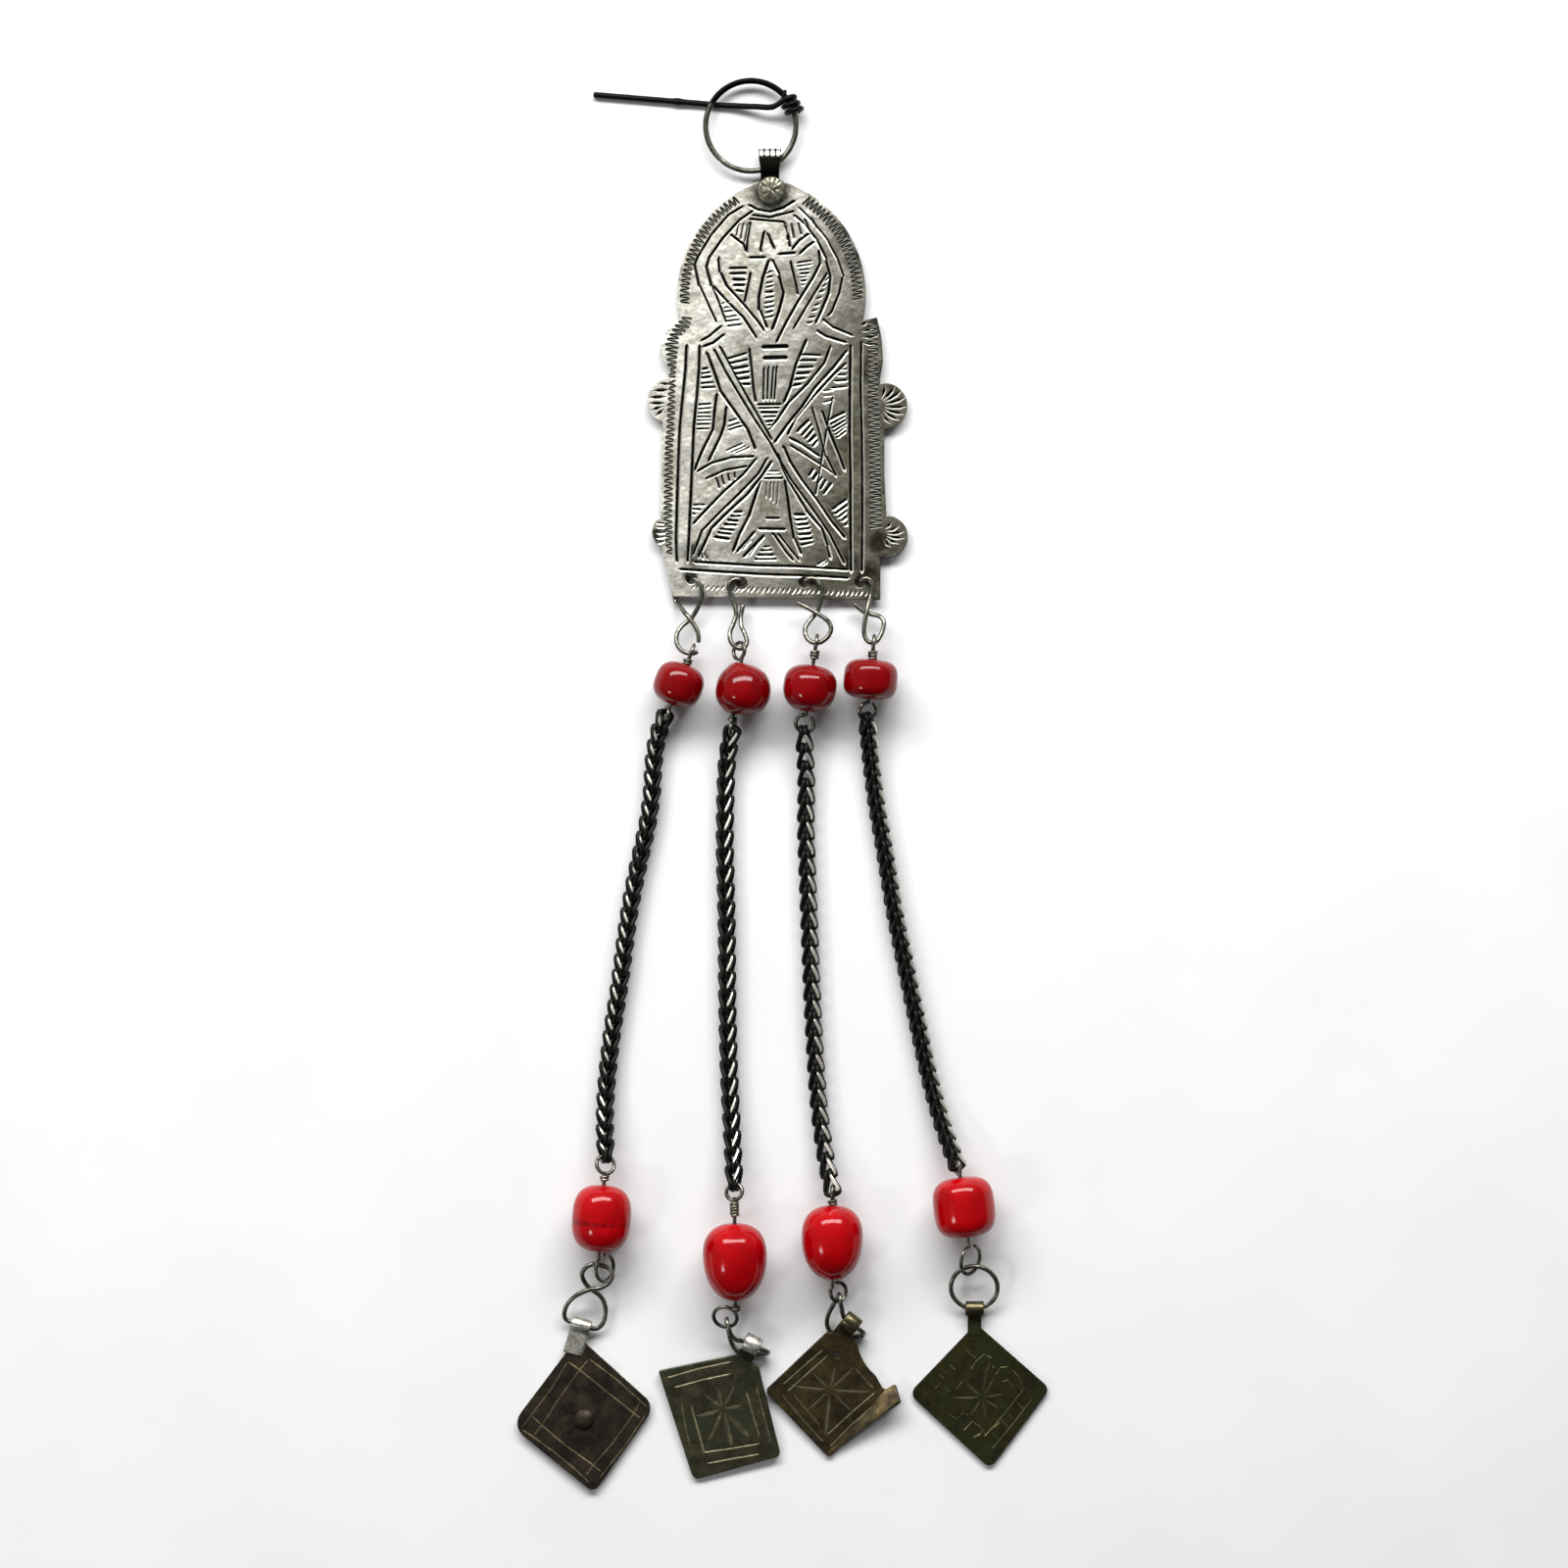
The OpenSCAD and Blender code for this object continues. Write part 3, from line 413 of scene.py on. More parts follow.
# the upper beads get a darker copy of the same glass
upperGlass = redGlass("darker copy of the opaque red glass", "#670003", "#760004")
lowerGlass = redGlass("opaque red glass", "#920006", "#a40108")
castBronze = patinatedBronze("cast bronze", "#19130e", "#40372a", "#2a2c1e", 0.2, 0.54)
sheetBronze = patinatedBronze("bronze sheet", "#2d2b1e", "#57543d", "#363d2d", 0.6)
brownBronze = patinatedBronze("browned bronze sheet", "#292113", "#5a4c2e", "#35341f", 0.2)
greenBronze = patinatedBronze("greened bronze", "#211f0d", "#454122", "#2e3018", 0.9)
brightCuts = patinatedBronze("cuts in bronze", "#454130", "#69644c", "#4a4a38", 0.0, 0.35)
brownCuts = patinatedBronze("cuts in brown bronze", "#3f3726", "#6b6046", "#3a3424", 0.0, 0.45)
greenCuts = patinatedBronze("cuts in greened bronze", "#34331c", "#504d31", "#33341f", 0.2, 0.4)
ribbonSilver = tarnishedSilver("worn silver ribbon", "#dddbd0", "#4a4536", 2.5, 0.9, (0.4, 0.52))
ribbonOlive = tarnishedSilver("worn brass ribbon", "#6d684c", "#25231a", 2.2, 1.0, (0.28, 0.45))
print("materials made")


# Strands: the same places and sizes as in the part's source

strand = {
    "upperAt": [(-18.4, 17.7, 248.8), (-8, 17, 261.3), (4.9, 17, 262), (15.7, 18.6, 265)],
    "lowerAt": [(-32.1, -77.2, 266), (-8.4, -84.9, 270.5), (8.9, -81.5, 270), (32.3, -75.2, 277)],
    # diameter, length, squareness, taper, sideways offset
    "upperBeads": [(8.75, 7.7, 0.75, 0, 0), (9.8, 9.3, 0.9, -0.06, 1.1), (9.45, 8.4, 0.8, 0.05, 0),
                   (9.6, 7.2, 0.62, 0, 0)],
    "lowerBeads": [(10.5, 11.9, 0.72, 0, 0), (11.3, 13.8, 0.85, 0.14, 0), (10.8, 13.3, 0.85, 0.12, 0),
                   (11, 10.7, 0.62, 0, 0)],
    # neck, radius, turn off the shank, tilt, pitch, wraps
    "upperTop": [(5.15, 1.4, 45, 0, 0, 1), (5.6, 1.5, 45, -40, 0, 0), (7.1, 1.4, 45, 0, 0, 2),
                 (5.4, 1.4, 45, 0, 0, 2)],
    "upperLow": [(4.75, 1.3, 45, -20, 0, 0), (6.35, 1.25, 45, 20, 0, 1), (4.8, 1.65, 0, 98, 20, 0),
                 (4.15, 1.6, 0, 70, 20, 0)],
    "lowerTop": [(8, 1.65, 0, 70, 20, 1), (11, 1.5, 0, 110, 20, 4), (7.95, 1.2, 45, 8, 0, 1),
                 (6.3, 1.2, 45, -20, 0, 0)],
    "lowerLow": [(7.3, 2.4, 50, 38, 0, 0), (9, 2.1, 60, -82, 28, 1), (7.7, 1.7, 50, 55, 0, 0),
                 (7.1, 2.6, 0, 44, 24, 0)],
    "boreR": 0.55, "eyeWire": 0.35, "shankWire": 0.33, "wrapWire": 0.28, "floorGap": 0.05,
    "seat": 0.12,
}


def beadPoint(bead, angle):
    diameter, length, square, taper, _ = bead
    s, c = math.sin(angle), max(math.cos(angle), 0)
    radius = diameter / 2 * c ** square * (1 - taper * s)
    return (length / 2 * math.copysign(abs(s) ** square, s), radius)


def strandPlace(at, bead):
    steps = 18
    radius = max(beadPoint(bead, math.pi * (k / steps - 0.5))[1] for k in range(steps + 1))
    lying = Matrix.Translation((at[0], at[1], radius + strand["floorGap"]))
    return lying @ Matrix.Rotation(math.radians(at[2]), 4, "Z")


def eyeAxes(eye):
    neck, radius, turn, tilt, pitch, _ = eye
    tilted = Matrix.Rotation(math.radians(pitch), 3, "Y")
    out = tilted @ Vector((1, 0, 0))
    up = tilted @ Vector((0, -math.sin(math.radians(tilt)), math.cos(math.radians(tilt))))
    turn = math.radians(turn)
    centre = Vector((neck, 0, 0)) + radius * (math.cos(turn) * out - math.sin(turn) * up)
    return centre, out, up


def eyeFar(eye):
    neck, radius, pitch = eye[0], eye[1], math.radians(eye[4])
    reach = 2 * radius - strand["seat"]
    return Vector((neck + reach * math.cos(pitch), 0, -reach * math.sin(pitch)))


# Beads of wound red glass

beadLook = {
    "profileSteps": 44, "spinSteps": 72, "wobble": 0.07, "wobbleSize": 5.5, "lip": 0.12, "shell": 1.5,
    "seamDepth": 0.07,
    # bead name: dents as heading round the axis in degrees, place along it, radius and depth
    "dents": {
        "upper_bead_1": [(250, 0.9, 2.6, 0.25)],
        "upper_bead_2": [(300, 0.95, 2.4, 0.5), (120, 0.7, 2.5, 0.25)],
        "upper_bead_3": [(90, -0.8, 2.5, 0.3)],
        "upper_bead_4": [(40, 0.6, 2.2, 0.2)],
        "lower_bead_1": [(80, 0.12, 1.2, 0.22)],
        "lower_bead_2": [(90, -0.82, 2.4, 0.45)],
        "lower_bead_3": [(95, -0.9, 2.2, 0.3)],
        "lower_bead_4": [(95, -0.9, 1.8, 0.35), (250, 0.8, 3, 0.3)],
    },
    # seams round the bead: place along the axis as a share of half the length, and strength
    "seams": {"lower_bead_1": (0.16, 0.8), "lower_bead_3": (0.24, 0.35), "upper_bead_1": (0.3, 0.25)},
}


def makeBead(name, at, bead, glass):
    look = beadLook
    bore, length, offset = strand["boreR"], bead[1], bead[4]
    steps = look["profileSteps"]
    outline = [beadPoint(bead, math.pi * (k / steps - 0.5)) for k in range(steps + 1)]
    outline = [(x, radius) for x, radius in outline if radius > bore * 1.25]
    outline = [(outline[0][0] + look["lip"], bore)] + outline + [(outline[-1][0] - look["lip"], bore)]
    bm = spinMesh([(x, radius, 0) for x, radius in outline], (1, 0, 0), look["spinSteps"], closed=True)
    bmesh.ops.recalc_face_normals(bm, faces=bm.faces)
    seam = bm.verts.layers.float.new("seam")
    seed = Vector((sum(ord(letter) * (k + 3) for k, letter in enumerate(name)) % 97, 7.3, 1.1))
    place, strength = look["seams"].get(name, (0, 0))
    for v in bm.verts:
        radius = math.hypot(v.co.y, v.co.z)
        outward = Vector((0, v.co.y, v.co.z)) / max(radius, 1e-6)
        shell = ramped(radius, bore, look["shell"])  # nothing moves at the bore
        change = look["wobble"] * shell * noise.noise(v.co / look["wobbleSize"] + seed)
        if strength:
            ring = math.exp(-((v.co.x - place * length / 2 - 0.12 * noise.noise(v.co + seed)) / 0.1) ** 2)
            v[seam] = strength * ring * shell
            change -= look["seamDepth"] * strength * ring * shell
        for heading, along, size, depth in look["dents"].get(name, []):
            heading = math.radians(heading)
            x, radial = beadPoint(bead, math.asin(along))
            spot = Vector((x, radial * math.cos(heading), radial * math.sin(heading)))
            change -= depth * shell * math.exp(-((v.co - spot).length / (size * 0.55)) ** 2)
        v.co += outward * change + Vector((0, offset * ramped(radius, bore, 0.3 * bead[0]), 0))
    bmesh.ops.transform(bm, matrix=strandPlace(at, bead), verts=bm.verts)
    finishPiece(bm, name + "_glass", [glass], "ornament", "red_glass", name)


for kind, glass in (("upper", upperGlass), ("lower", lowerGlass)):
    for number, (at, bead) in enumerate(zip(strand[kind + "At"], strand[kind + "Beads"]), 1):
        makeBead(f"{kind}_bead_{number}", at, bead, glass)
print("beads made")


# Wires through the beads, with an open eye at each end

wireLook = {"sides": 12, "arcSteps": 22, "openAt": 38, "closedAt": 12, "wrapSteps": 14, "wrapSides": 10}


def eyePath(eye):
    centre, out, up = eyeAxes(eye)
    start = math.pi - math.radians(eye[2])
    arc = math.tau - math.radians(wireLook["closedAt"] if eye[5] else wireLook["openAt"])
    angles = [start - arc * k / wireLook["arcSteps"] for k in range(wireLook["arcSteps"] + 1)]
    return [centre + eye[1] * (math.cos(angle) * out + math.sin(angle) * up) for angle in angles]


def wrapPath(eye):
    neck, wraps = eye[0], eye[5]
    radius = strand["shankWire"] + strand["wrapWire"] + 0.02
    pitch, steps = 2 * strand["wrapWire"] - 0.03, wireLook["wrapSteps"]
    points = []
    for k in range(int(steps * (wraps + 0.4)) + 1):
        angle = math.tau * k / steps
        points.append(Vector((neck - 0.45 - pitch * k / steps, radius * math.cos(angle),
                              radius * math.sin(angle))))
    return points


def makeBeadWire(name, at, bead, top, low):
    bm = bmesh.new()
    flip = Matrix.Diagonal((-1, 1, 1, 1))
    path = [flip @ p for p in eyePath(top)][::-1]
    path += [Vector((x, 0, 0)) for x in (-top[0] + 0.3, 0, low[0] - 0.3)] + eyePath(low)
    addTo(bm, sweep(smoothPath(path, 2), circleSection(strand["eyeWire"], wireLook["sides"]),
                    roundEnd=strand["eyeWire"]))
    for eye, side in ((top, flip), (low, Matrix())):
        if eye[5]:
            coil = smoothPath([side @ p for p in wrapPath(eye)], 2)
            addTo(bm, sweep(coil, circleSection(strand["wrapWire"], wireLook["wrapSides"]),
                            roundEnd=strand["wrapWire"]))
    bmesh.ops.transform(bm, matrix=strandPlace(at, bead), verts=bm.verts)
    finishPiece(bm, name + "_silver", [wireSilver], "ornament", "silver_wire", name)


for kind in ("upper", "lower"):
    rows = zip(strand[kind + "At"], strand[kind + "Beads"], strand[kind + "Top"], strand[kind + "Low"])
    for number, row in enumerate(rows, 1):
        makeBeadWire(f"{kind}_wire_{number}", *row)
print("bead wires made")


# Hooks and drop links of bent wire

bentWire = {
    "radius": 0.42, "sides": 12, "steps": 4, "swell": 0.05,
    "hooks": [
        [(-14.9, 25.4, 3.8), (-14.9, 26.2, 3.75), (-15.2, 27.4, 3.6), (-16.3, 29.2, 3.4), (-17.3, 30.4, 2.9),
         (-18.3, 31.7, 1.6), (-18.9, 32.3, 0.8), (-19.15, 33.1, 0.5), (-19.3, 34.5, 0.5), (-18.8, 35.8, 0.5),
         (-17.8, 36.5, 0.5), (-16.9, 36.6, 0.5), (-16.4, 36.6, 0.7), (-16.2, 36.6, 1.4), (-16, 36.6, 2),
         (-15.5, 36.4, 2.4), (-14.7, 35.6, 2.45), (-14.3, 34.4, 2.45), (-14.5, 32.8, 2.4), (-15.2, 31.1, 2.2),
         (-16.3, 29.4, 2.05), (-17.8, 28.2, 2.3), (-18.7, 26.8, 2.8), (-18.8, 25.2, 3.2), (-18.2, 24, 3.5),
         (-17.2, 23.4, 3.55), (-16.1, 23.2, 3.55), (-15.2, 23.5, 3.6)],
        [(-9, 33.9, 0.5), (-8.7, 35.1, 0.5), (-8, 35.7, 0.5), (-7.4, 35.75, 0.75), (-7.15, 35.8, 1.4),
         (-7.3, 36.1, 2.1), (-8, 36.5, 2.45), (-9, 36.2, 2.5), (-9.5, 35.2, 2.5), (-9.1, 33.5, 2.5),
         (-8.5, 31.8, 2.6), (-8.2, 30.2, 2.9), (-8.7, 28.5, 3.3), (-9.3, 27, 3.6), (-9.2, 25.5, 4),
         (-8.5, 24.5, 4.2), (-7.5, 24.1, 4.2), (-6.6, 24.4, 4.1), (-6.3, 25.4, 3.8), (-6.7, 26.8, 3.3),
         (-7.3, 28.2, 2.7), (-7.4, 29.8, 2.1), (-7, 31.8, 1.8)],
        [(2.1, 34.4, 0.5), (2.5, 35.3, 0.5), (3.1, 35.9, 0.5), (3.7, 36.05, 0.75), (3.95, 36.1, 1.4),
         (4.05, 36.25, 2.1), (4.8, 36.6, 2.5), (5.9, 36.5, 2.5), (6.8, 35.6, 2.5), (7.1, 34.3, 2.5),
         (6.9, 32.8, 2.5), (6.5, 31.2, 2.4), (5.9, 30.2, 2.3), (5, 29.2, 2.6), (4.2, 28, 3), (4.1, 26.7, 3.4),
         (4.7, 25.6, 3.8), (5.8, 25.1, 4), (7, 25.3, 4), (8.2, 26.3, 3.9), (8.7, 27.7, 3.7), (8.1, 29, 3.5),
         (6.6, 30.1, 3.4), (4.6, 31.3, 3.3), (2.6, 32.3, 3.1)],
        [(12.1, 34.4, 0.5), (12.5, 35.3, 0.5), (13.1, 35.9, 0.5), (13.7, 36.05, 0.75), (13.95, 36.1, 1.4),
         (14, 36.25, 2.1), (14.6, 36.6, 2.45), (15.4, 36.5, 2.5), (16, 35.6, 2.5), (15.9, 34, 2.55),
         (15.4, 32.2, 2.9), (15, 30.4, 3.3), (14.6, 28.2, 3.5), (14.6, 26.6, 3.7), (15.1, 25.5, 3.95),
         (16.1, 25.1, 4), (17, 25.6, 3.9), (17.8, 27.1, 3.5), (18.1, 28.8, 3.1), (17.4, 29.8, 2.7),
         (16, 30.2, 2.3), (14.7, 30.6, 2.1), (13.9, 31.2, 2.1), (12.9, 32, 2.1)]],
    "links": [
        [(-34.2, -89.9, 3.9), (-32.6, -89.7, 4.2), (-31, -88.9, 4.4), (-30.2, -87.5, 4.3), (-30.8, -86.2, 4.1),
         (-32, -85.7, 4.1), (-33.5, -85.4, 4.1), (-34.9, -86, 3.9), (-35.6, -87.2, 3.5), (-35.2, -88.7, 3),
         (-34.2, -89.9, 2.8), (-32.6, -91, 2.5), (-31.7, -92.5, 2.2), (-31.5, -94.4, 1.8), (-32, -96.2, 1.5),
         (-33, -97.1, 1.3), (-34.2, -97.05, 1.3), (-35.9, -96.5, 1.3), (-37.7, -95.95, 1.3),
         (-38.7, -95.3, 1.5), (-38.8, -94, 2), (-38.1, -92.4, 2.7), (-36.6, -91, 3.4)],
        [(-9.85, -95.1, 4.4), (-9.8, -95.6, 5), (-9.6, -96.4, 5.3), (-9.3, -97.3, 5.2), (-8.9, -98.2, 4.6),
         (-8.2, -98.9, 3.6), (-7.1, -99.2, 2.85), (-5.4, -99.8, 2.75), (-3.8, -100.6, 2.7), (-2.8, -101.1, 2.3),
         (-2.5, -101.4, 1.5), (-3, -101.6, 0.7), (-4.4, -101.7, 0.5), (-6.6, -101.6, 0.5), (-8.2, -101, 0.55),
         (-9, -99.8, 0.8), (-9.4, -98.4, 1.6), (-9.6, -97, 2.55), (-9.85, -95.7, 3.4)],
        [(10.1, -90.7, 4.8), (10.3, -91.2, 5.5), (10.4, -92.2, 5.7), (10.6, -93.2, 5), (10.7, -94.1, 3.9),
         (11.1, -95.1, 2.9), (12.2, -96, 2.75), (13.5, -97, 2.7), (14.3, -97.6, 2.3), (14.6, -98, 1.5),
         (14.2, -98.4, 0.7), (12.8, -98.7, 0.5), (10.6, -98.6, 0.5), (8.8, -97.9, 0.5), (8, -96.6, 0.9),
         (8.1, -95, 1.8), (8.7, -93.5, 2.7), (9.4, -92.2, 3.4), (9.9, -91.2, 4)]],
    "ringAt": (34.2, -89.7, 2.55), "ringRadius": 4.1, "ringPitch": 16, "ringPoints": 40,
}


def makeBentWire(name, path, seed, closed):
    # Hand-drawn wire is a little uneven
    swell = bentWire["swell"]
    scales = [1 + swell * noise.noise(Vector(p) / 2.3 + Vector((seed, 0, 0))) for p in path]
    bm = sweep(path, circleSection(bentWire["radius"], bentWire["sides"]), closed, scales,
               roundEnd=0 if closed else 0.3)
    finishPiece(bm, name + "_silver", [wireSilver], "ornament", "silver_wire", name)


ringPath = []
for k in range(bentWire["ringPoints"]):
    angle = math.tau * k / bentWire["ringPoints"]
    reach = bentWire["ringRadius"] * (1 + 0.02 * math.cos(2 * angle + 0.6))
    flat = Vector((reach * math.cos(angle), reach * math.sin(angle), 0))
    tilted = Matrix.Rotation(math.radians(bentWire["ringPitch"]), 3, "X") @ flat
    ringPath.append(Vector(bentWire["ringAt"]) + tilted)
for number, points in enumerate(bentWire["hooks"], 1):
    makeBentWire(f"hook_{number}", smoothPath(points, bentWire["steps"]), number, False)
linkPaths = [smoothPath(points, bentWire["steps"], closed=True) for points in bentWire["links"]] + [ringPath]
for number, path in enumerate(linkPaths, 1):
    makeBentWire(f"drop_link_{number}", path, 9 + number, True)
print("hooks and drop links made")


# Loop-in-loop chains

chain = {
    "wire": 0.4, "sides": 8, "smoothing": 4, "routeSteps": 8,
    "baseHalf": 1.18, "eyeHalf": 0.4, "baseRise": 0.36, "eyeRise": 1.14, "tipRise": 0.6, "tipReach": 0.8,
    "eyeLead": 0.2,
    "links": [29, 26, 26, 32], "rolls": [-20, 20, -8, 20], "baseUp": [True, True, False, False],
    # the side of each chain whose crests get painted highlights with some wear, and how strong they are
    "highlightSide": [-1, 1, -1, -1], "worn": [1.0, 1.5, 2.4, 2.4],
    "routes": [
        [(-22.1, 9, 2.5), (-22.9, 4.4, 1.8), (-23.2, -1, 1.72), (-23.9, -6.5, 1.72), (-25.1, -12, 1.72),
         (-26.4, -18, 1.72), (-27.6, -25, 1.72), (-28.9, -35, 1.72), (-30.5, -45.5, 1.72), (-31.4, -54.5, 1.9),
         (-31.6, -60.5, 2.8)],
        [(-9.6, 6, 2.8), (-10, 1.5, 1.8), (-10.2, -6, 1.72), (-10.2, -13, 1.72), (-9.9, -24.5, 1.72),
         (-9.8, -37.6, 1.72), (-9.5, -50.8, 1.72), (-9.1, -59, 1.9), (-8.8, -65, 3)],
        [(4.1, 4.6, 2.7), (4.3, -0.5, 1.8), (4.2, -7, 1.72), (4.4, -14, 1.72), (4.8, -24.5, 1.72),
         (5.2, -35, 1.72), (5.7, -45.5, 1.72), (6.4, -56, 1.75), (7, -61.5, 1.95), (7.9, -67.5, 3)],
        [(15.5, 7.5, 2.7), (16.1, 2, 1.8), (16.9, -4, 1.72), (18.2, -11.4, 1.72), (19.9, -21.9, 1.72),
         (22, -32.4, 1.72), (24.2, -42.9, 1.72), (26.3, -52.5, 1.8), (28.5, -60.5, 2.8)]],
}


def chainRoute(i):
    baseUp = chain["baseUp"][i]
    above = eyeAxes(strand["upperLow"][i])[0] if baseUp else eyeFar(strand["upperLow"][i])
    below = eyeFar(strand["lowerTop"][i]) if baseUp else eyeAxes(strand["lowerTop"][i])[0]
    above = strandPlace(strand["upperAt"][i], strand["upperBeads"][i]) @ above
    below = strandPlace(strand["lowerAt"][i], strand["lowerBeads"][i]) @ Vector((-below.x, below.y, below.z))
    route = [above] + [Vector(p) for p in chain["routes"][i]] + [below]
    return route if baseUp else route[::-1]


def evenStations(path, count):
    sums = [0.0]
    for a, b in zip(path, path[1:]):
        sums.append(sums[-1] + (b - a).length)
    stations, k = [], 0
    for i in range(count + 1):
        goal = sums[-1] * i / count
        while k < len(sums) - 2 and sums[k + 1] < goal:
            k += 1
        stations.append(path[k].lerp(path[k + 1], (goal - sums[k]) / (sums[k + 1] - sums[k])))
    return stations


def linkLoop(pitch):
    c = chain
    arm = [(0, c["baseHalf"], c["baseRise"]), (pitch - c["eyeLead"], c["eyeHalf"], c["eyeRise"]),
           (pitch + c["tipReach"], c["eyeHalf"], c["tipRise"])]
    loop = arm + [(x, y, -z) for x, y, z in arm[::-1]]
    return loop + [(x, -y, -z) for x, y, z in arm] + [(x, -y, z) for x, y, z in arm[::-1]]


def makeChain(i):
    bm = bmesh.new()
    bm.verts.layers.float.new("wearAndHighlight")
    count = chain["links"][i]
    roll = math.radians(chain["rolls"][i])
    stations = evenStations(smoothPath(chainRoute(i), chain["routeSteps"]), count)
    for start, stop in zip(stations, stations[1:]):
        pitch = (stop - start).length
        along = (stop - start).normalized()
        flat = Vector((0, 0, 1)).cross(along).normalized()
        wide = flat * math.cos(roll) + along.cross(flat) * math.sin(roll)
        high = along.cross(wide)
        loop = [start + x * along + y * wide + z * high for x, y, z in linkLoop(pitch)]
        part = sweep(smoothPath(loop, chain["smoothing"], closed=True),
                     circleSection(chain["wire"], chain["sides"]), closed=True)
        wearAndHighlight = part.verts.layers.float.new("wearAndHighlight")
        part.normal_update()
        rubbedAndLit = chain["worn"][i] * (1 + 0.7 * noise.noise(start / 7))
        for v in part.verts:  # painted highlights, with some wear, on the upward crest of each link's brighter side
            local = v.co - start
            middle = math.exp(-((local.dot(along) / pitch - 0.4) / 0.4) ** 2)
            flank = max(min(chain["highlightSide"][i] * local.dot(wide) / 0.3, 1), 0.12)
            crest = ramped(v.normal.dot(high), 0.62, 0.3)
            rise = ramped(local.dot(high) / (chain["eyeRise"] + chain["wire"]), 0.3, 0.3)
            v[wearAndHighlight] = rubbedAndLit * middle * flank * crest * rise
        addTo(bm, part)
    name = f"chain_{i + 1}"
    finishPiece(bm, name + "_silver", [chainBlack], "ornament", "blackened_silver", name)


for i in range(4):
    makeChain(i)
print("chains made")


# Suspension ring, pin, bail and rivet

topFittings = {
    "ringAt": (-5.6, 117.3, 1.85), "ringRadius": 8.05, "ringWire": 0.5, "ringPoints": 96, "sides": 14,
    "blackFrom": 35, "blackTo": 150, "blackSwell": 0.14,  # the blackened stretch of the ring, in degrees
    "pinWire": 0.55, "knotAt": (-18.6, 121.76, 0.68), "knotSize": 0.6, "knotSwell": 0.28,
    "pinPath": [(-33.5, 123, 0.62), (-32.6, 122.93, 0.62), (-28, 122.54, 0.62), (-22, 122.05, 0.62),
                (-19.2, 121.82, 0.66), (-18.5, 121.76, 0.68), (-17.8, 121.7, 0.64), (-14, 121.38, 0.62),
                (-11.2, 121.15, 0.62), (-8, 120.95, 0.95), (-4.6, 120.75, 1.75), (-1.7, 120.6, 2.6)],
    "hinge": 30,  # where the pin turns on the ring, in degrees round it
    "coilFrom": 37, "coilTo": 15.5, "coilStart": 115, "coilTurns": 2.5, "coilRadius": 1.3, "coilWire": 0.49,
    "nub": [(0.1, 122.1, 2.4), (0.35, 122.8, 2.55), (0.5, 123.4, 2.5)], "nubWire": 0.36,
    "bailX": -2.2, "strap": 0.5, "reeds": 4, "reedDepth": 0.17,
    # the strap's middle line from the front leaf over the ring to the rear leaf: Y, Z, width
    "bailPath": [(104.1, 2.15, 2.9), (105.6, 2.15, 3.2), (107.2, 2.16, 3.2), (108.3, 2.3, 3.25),
                 (109.2, 2.75, 3.3), (110.2, 2.88, 3.45), (111.4, 2.9, 3.8), (112.2, 2.82, 4.0),
                 (112.9, 2.35, 4.0), (113.05, 1.7, 4.0), (112.9, 1.05, 4.0), (112.2, 0.58, 4.0),
                 (111.2, 0.5, 3.8), (110, 0.5, 3.4), (109, 0.56, 3.3), (108.2, 0.68, 3.3), (107, 0.75, 3.2),
                 (105.4, 0.75, 3.2), (104.1, 0.75, 2.9)],
    "rivetAt": (-2, 105.75), "discRadius": 2.5, "discLow": 2.45, "discHigh": 3.05,
    "flutes": 17, "fluteDepth": 0.16, "markDepth": 0.12, "uneven": 0.07,
    "hammerMarks": [(0.5, -0.3), (-0.2, 0.3), (0.1, -1.1), (1.2, 0.2), (-1.0, -0.6), (-1.2, 0.7), (0.6, 0.9)],
    # the rear head and the shank: lower and upper radius, lower and upper Z, sides
    "shank": [(1.05, 1.3, 0.085, 0.435, 40), (0.8, 0.8, 0.25, 2.65, 24)],
}


def makeRing():
    look = topFittings
    path, scales = [], []
    for k in range(look["ringPoints"]):
        angle = math.tau * k / look["ringPoints"]
        path.append(Vector(look["ringAt"]) + look["ringRadius"] * Vector((math.cos(angle), math.sin(angle), 0)))
        degrees = math.degrees(angle)
        black = ramped(min(degrees - look["blackFrom"], look["blackTo"] - degrees), 0, 12)
        scales.append(1 + look["blackSwell"] * black + 0.04 * noise.noise(path[-1] / 2))
    bm = sweep(path, circleSection(look["ringWire"], look["sides"]), closed=True, scales=scales)
    finishPiece(bm, "ring_silver", [ringSilver], "ring", "silver_wire", "suspension_ring")


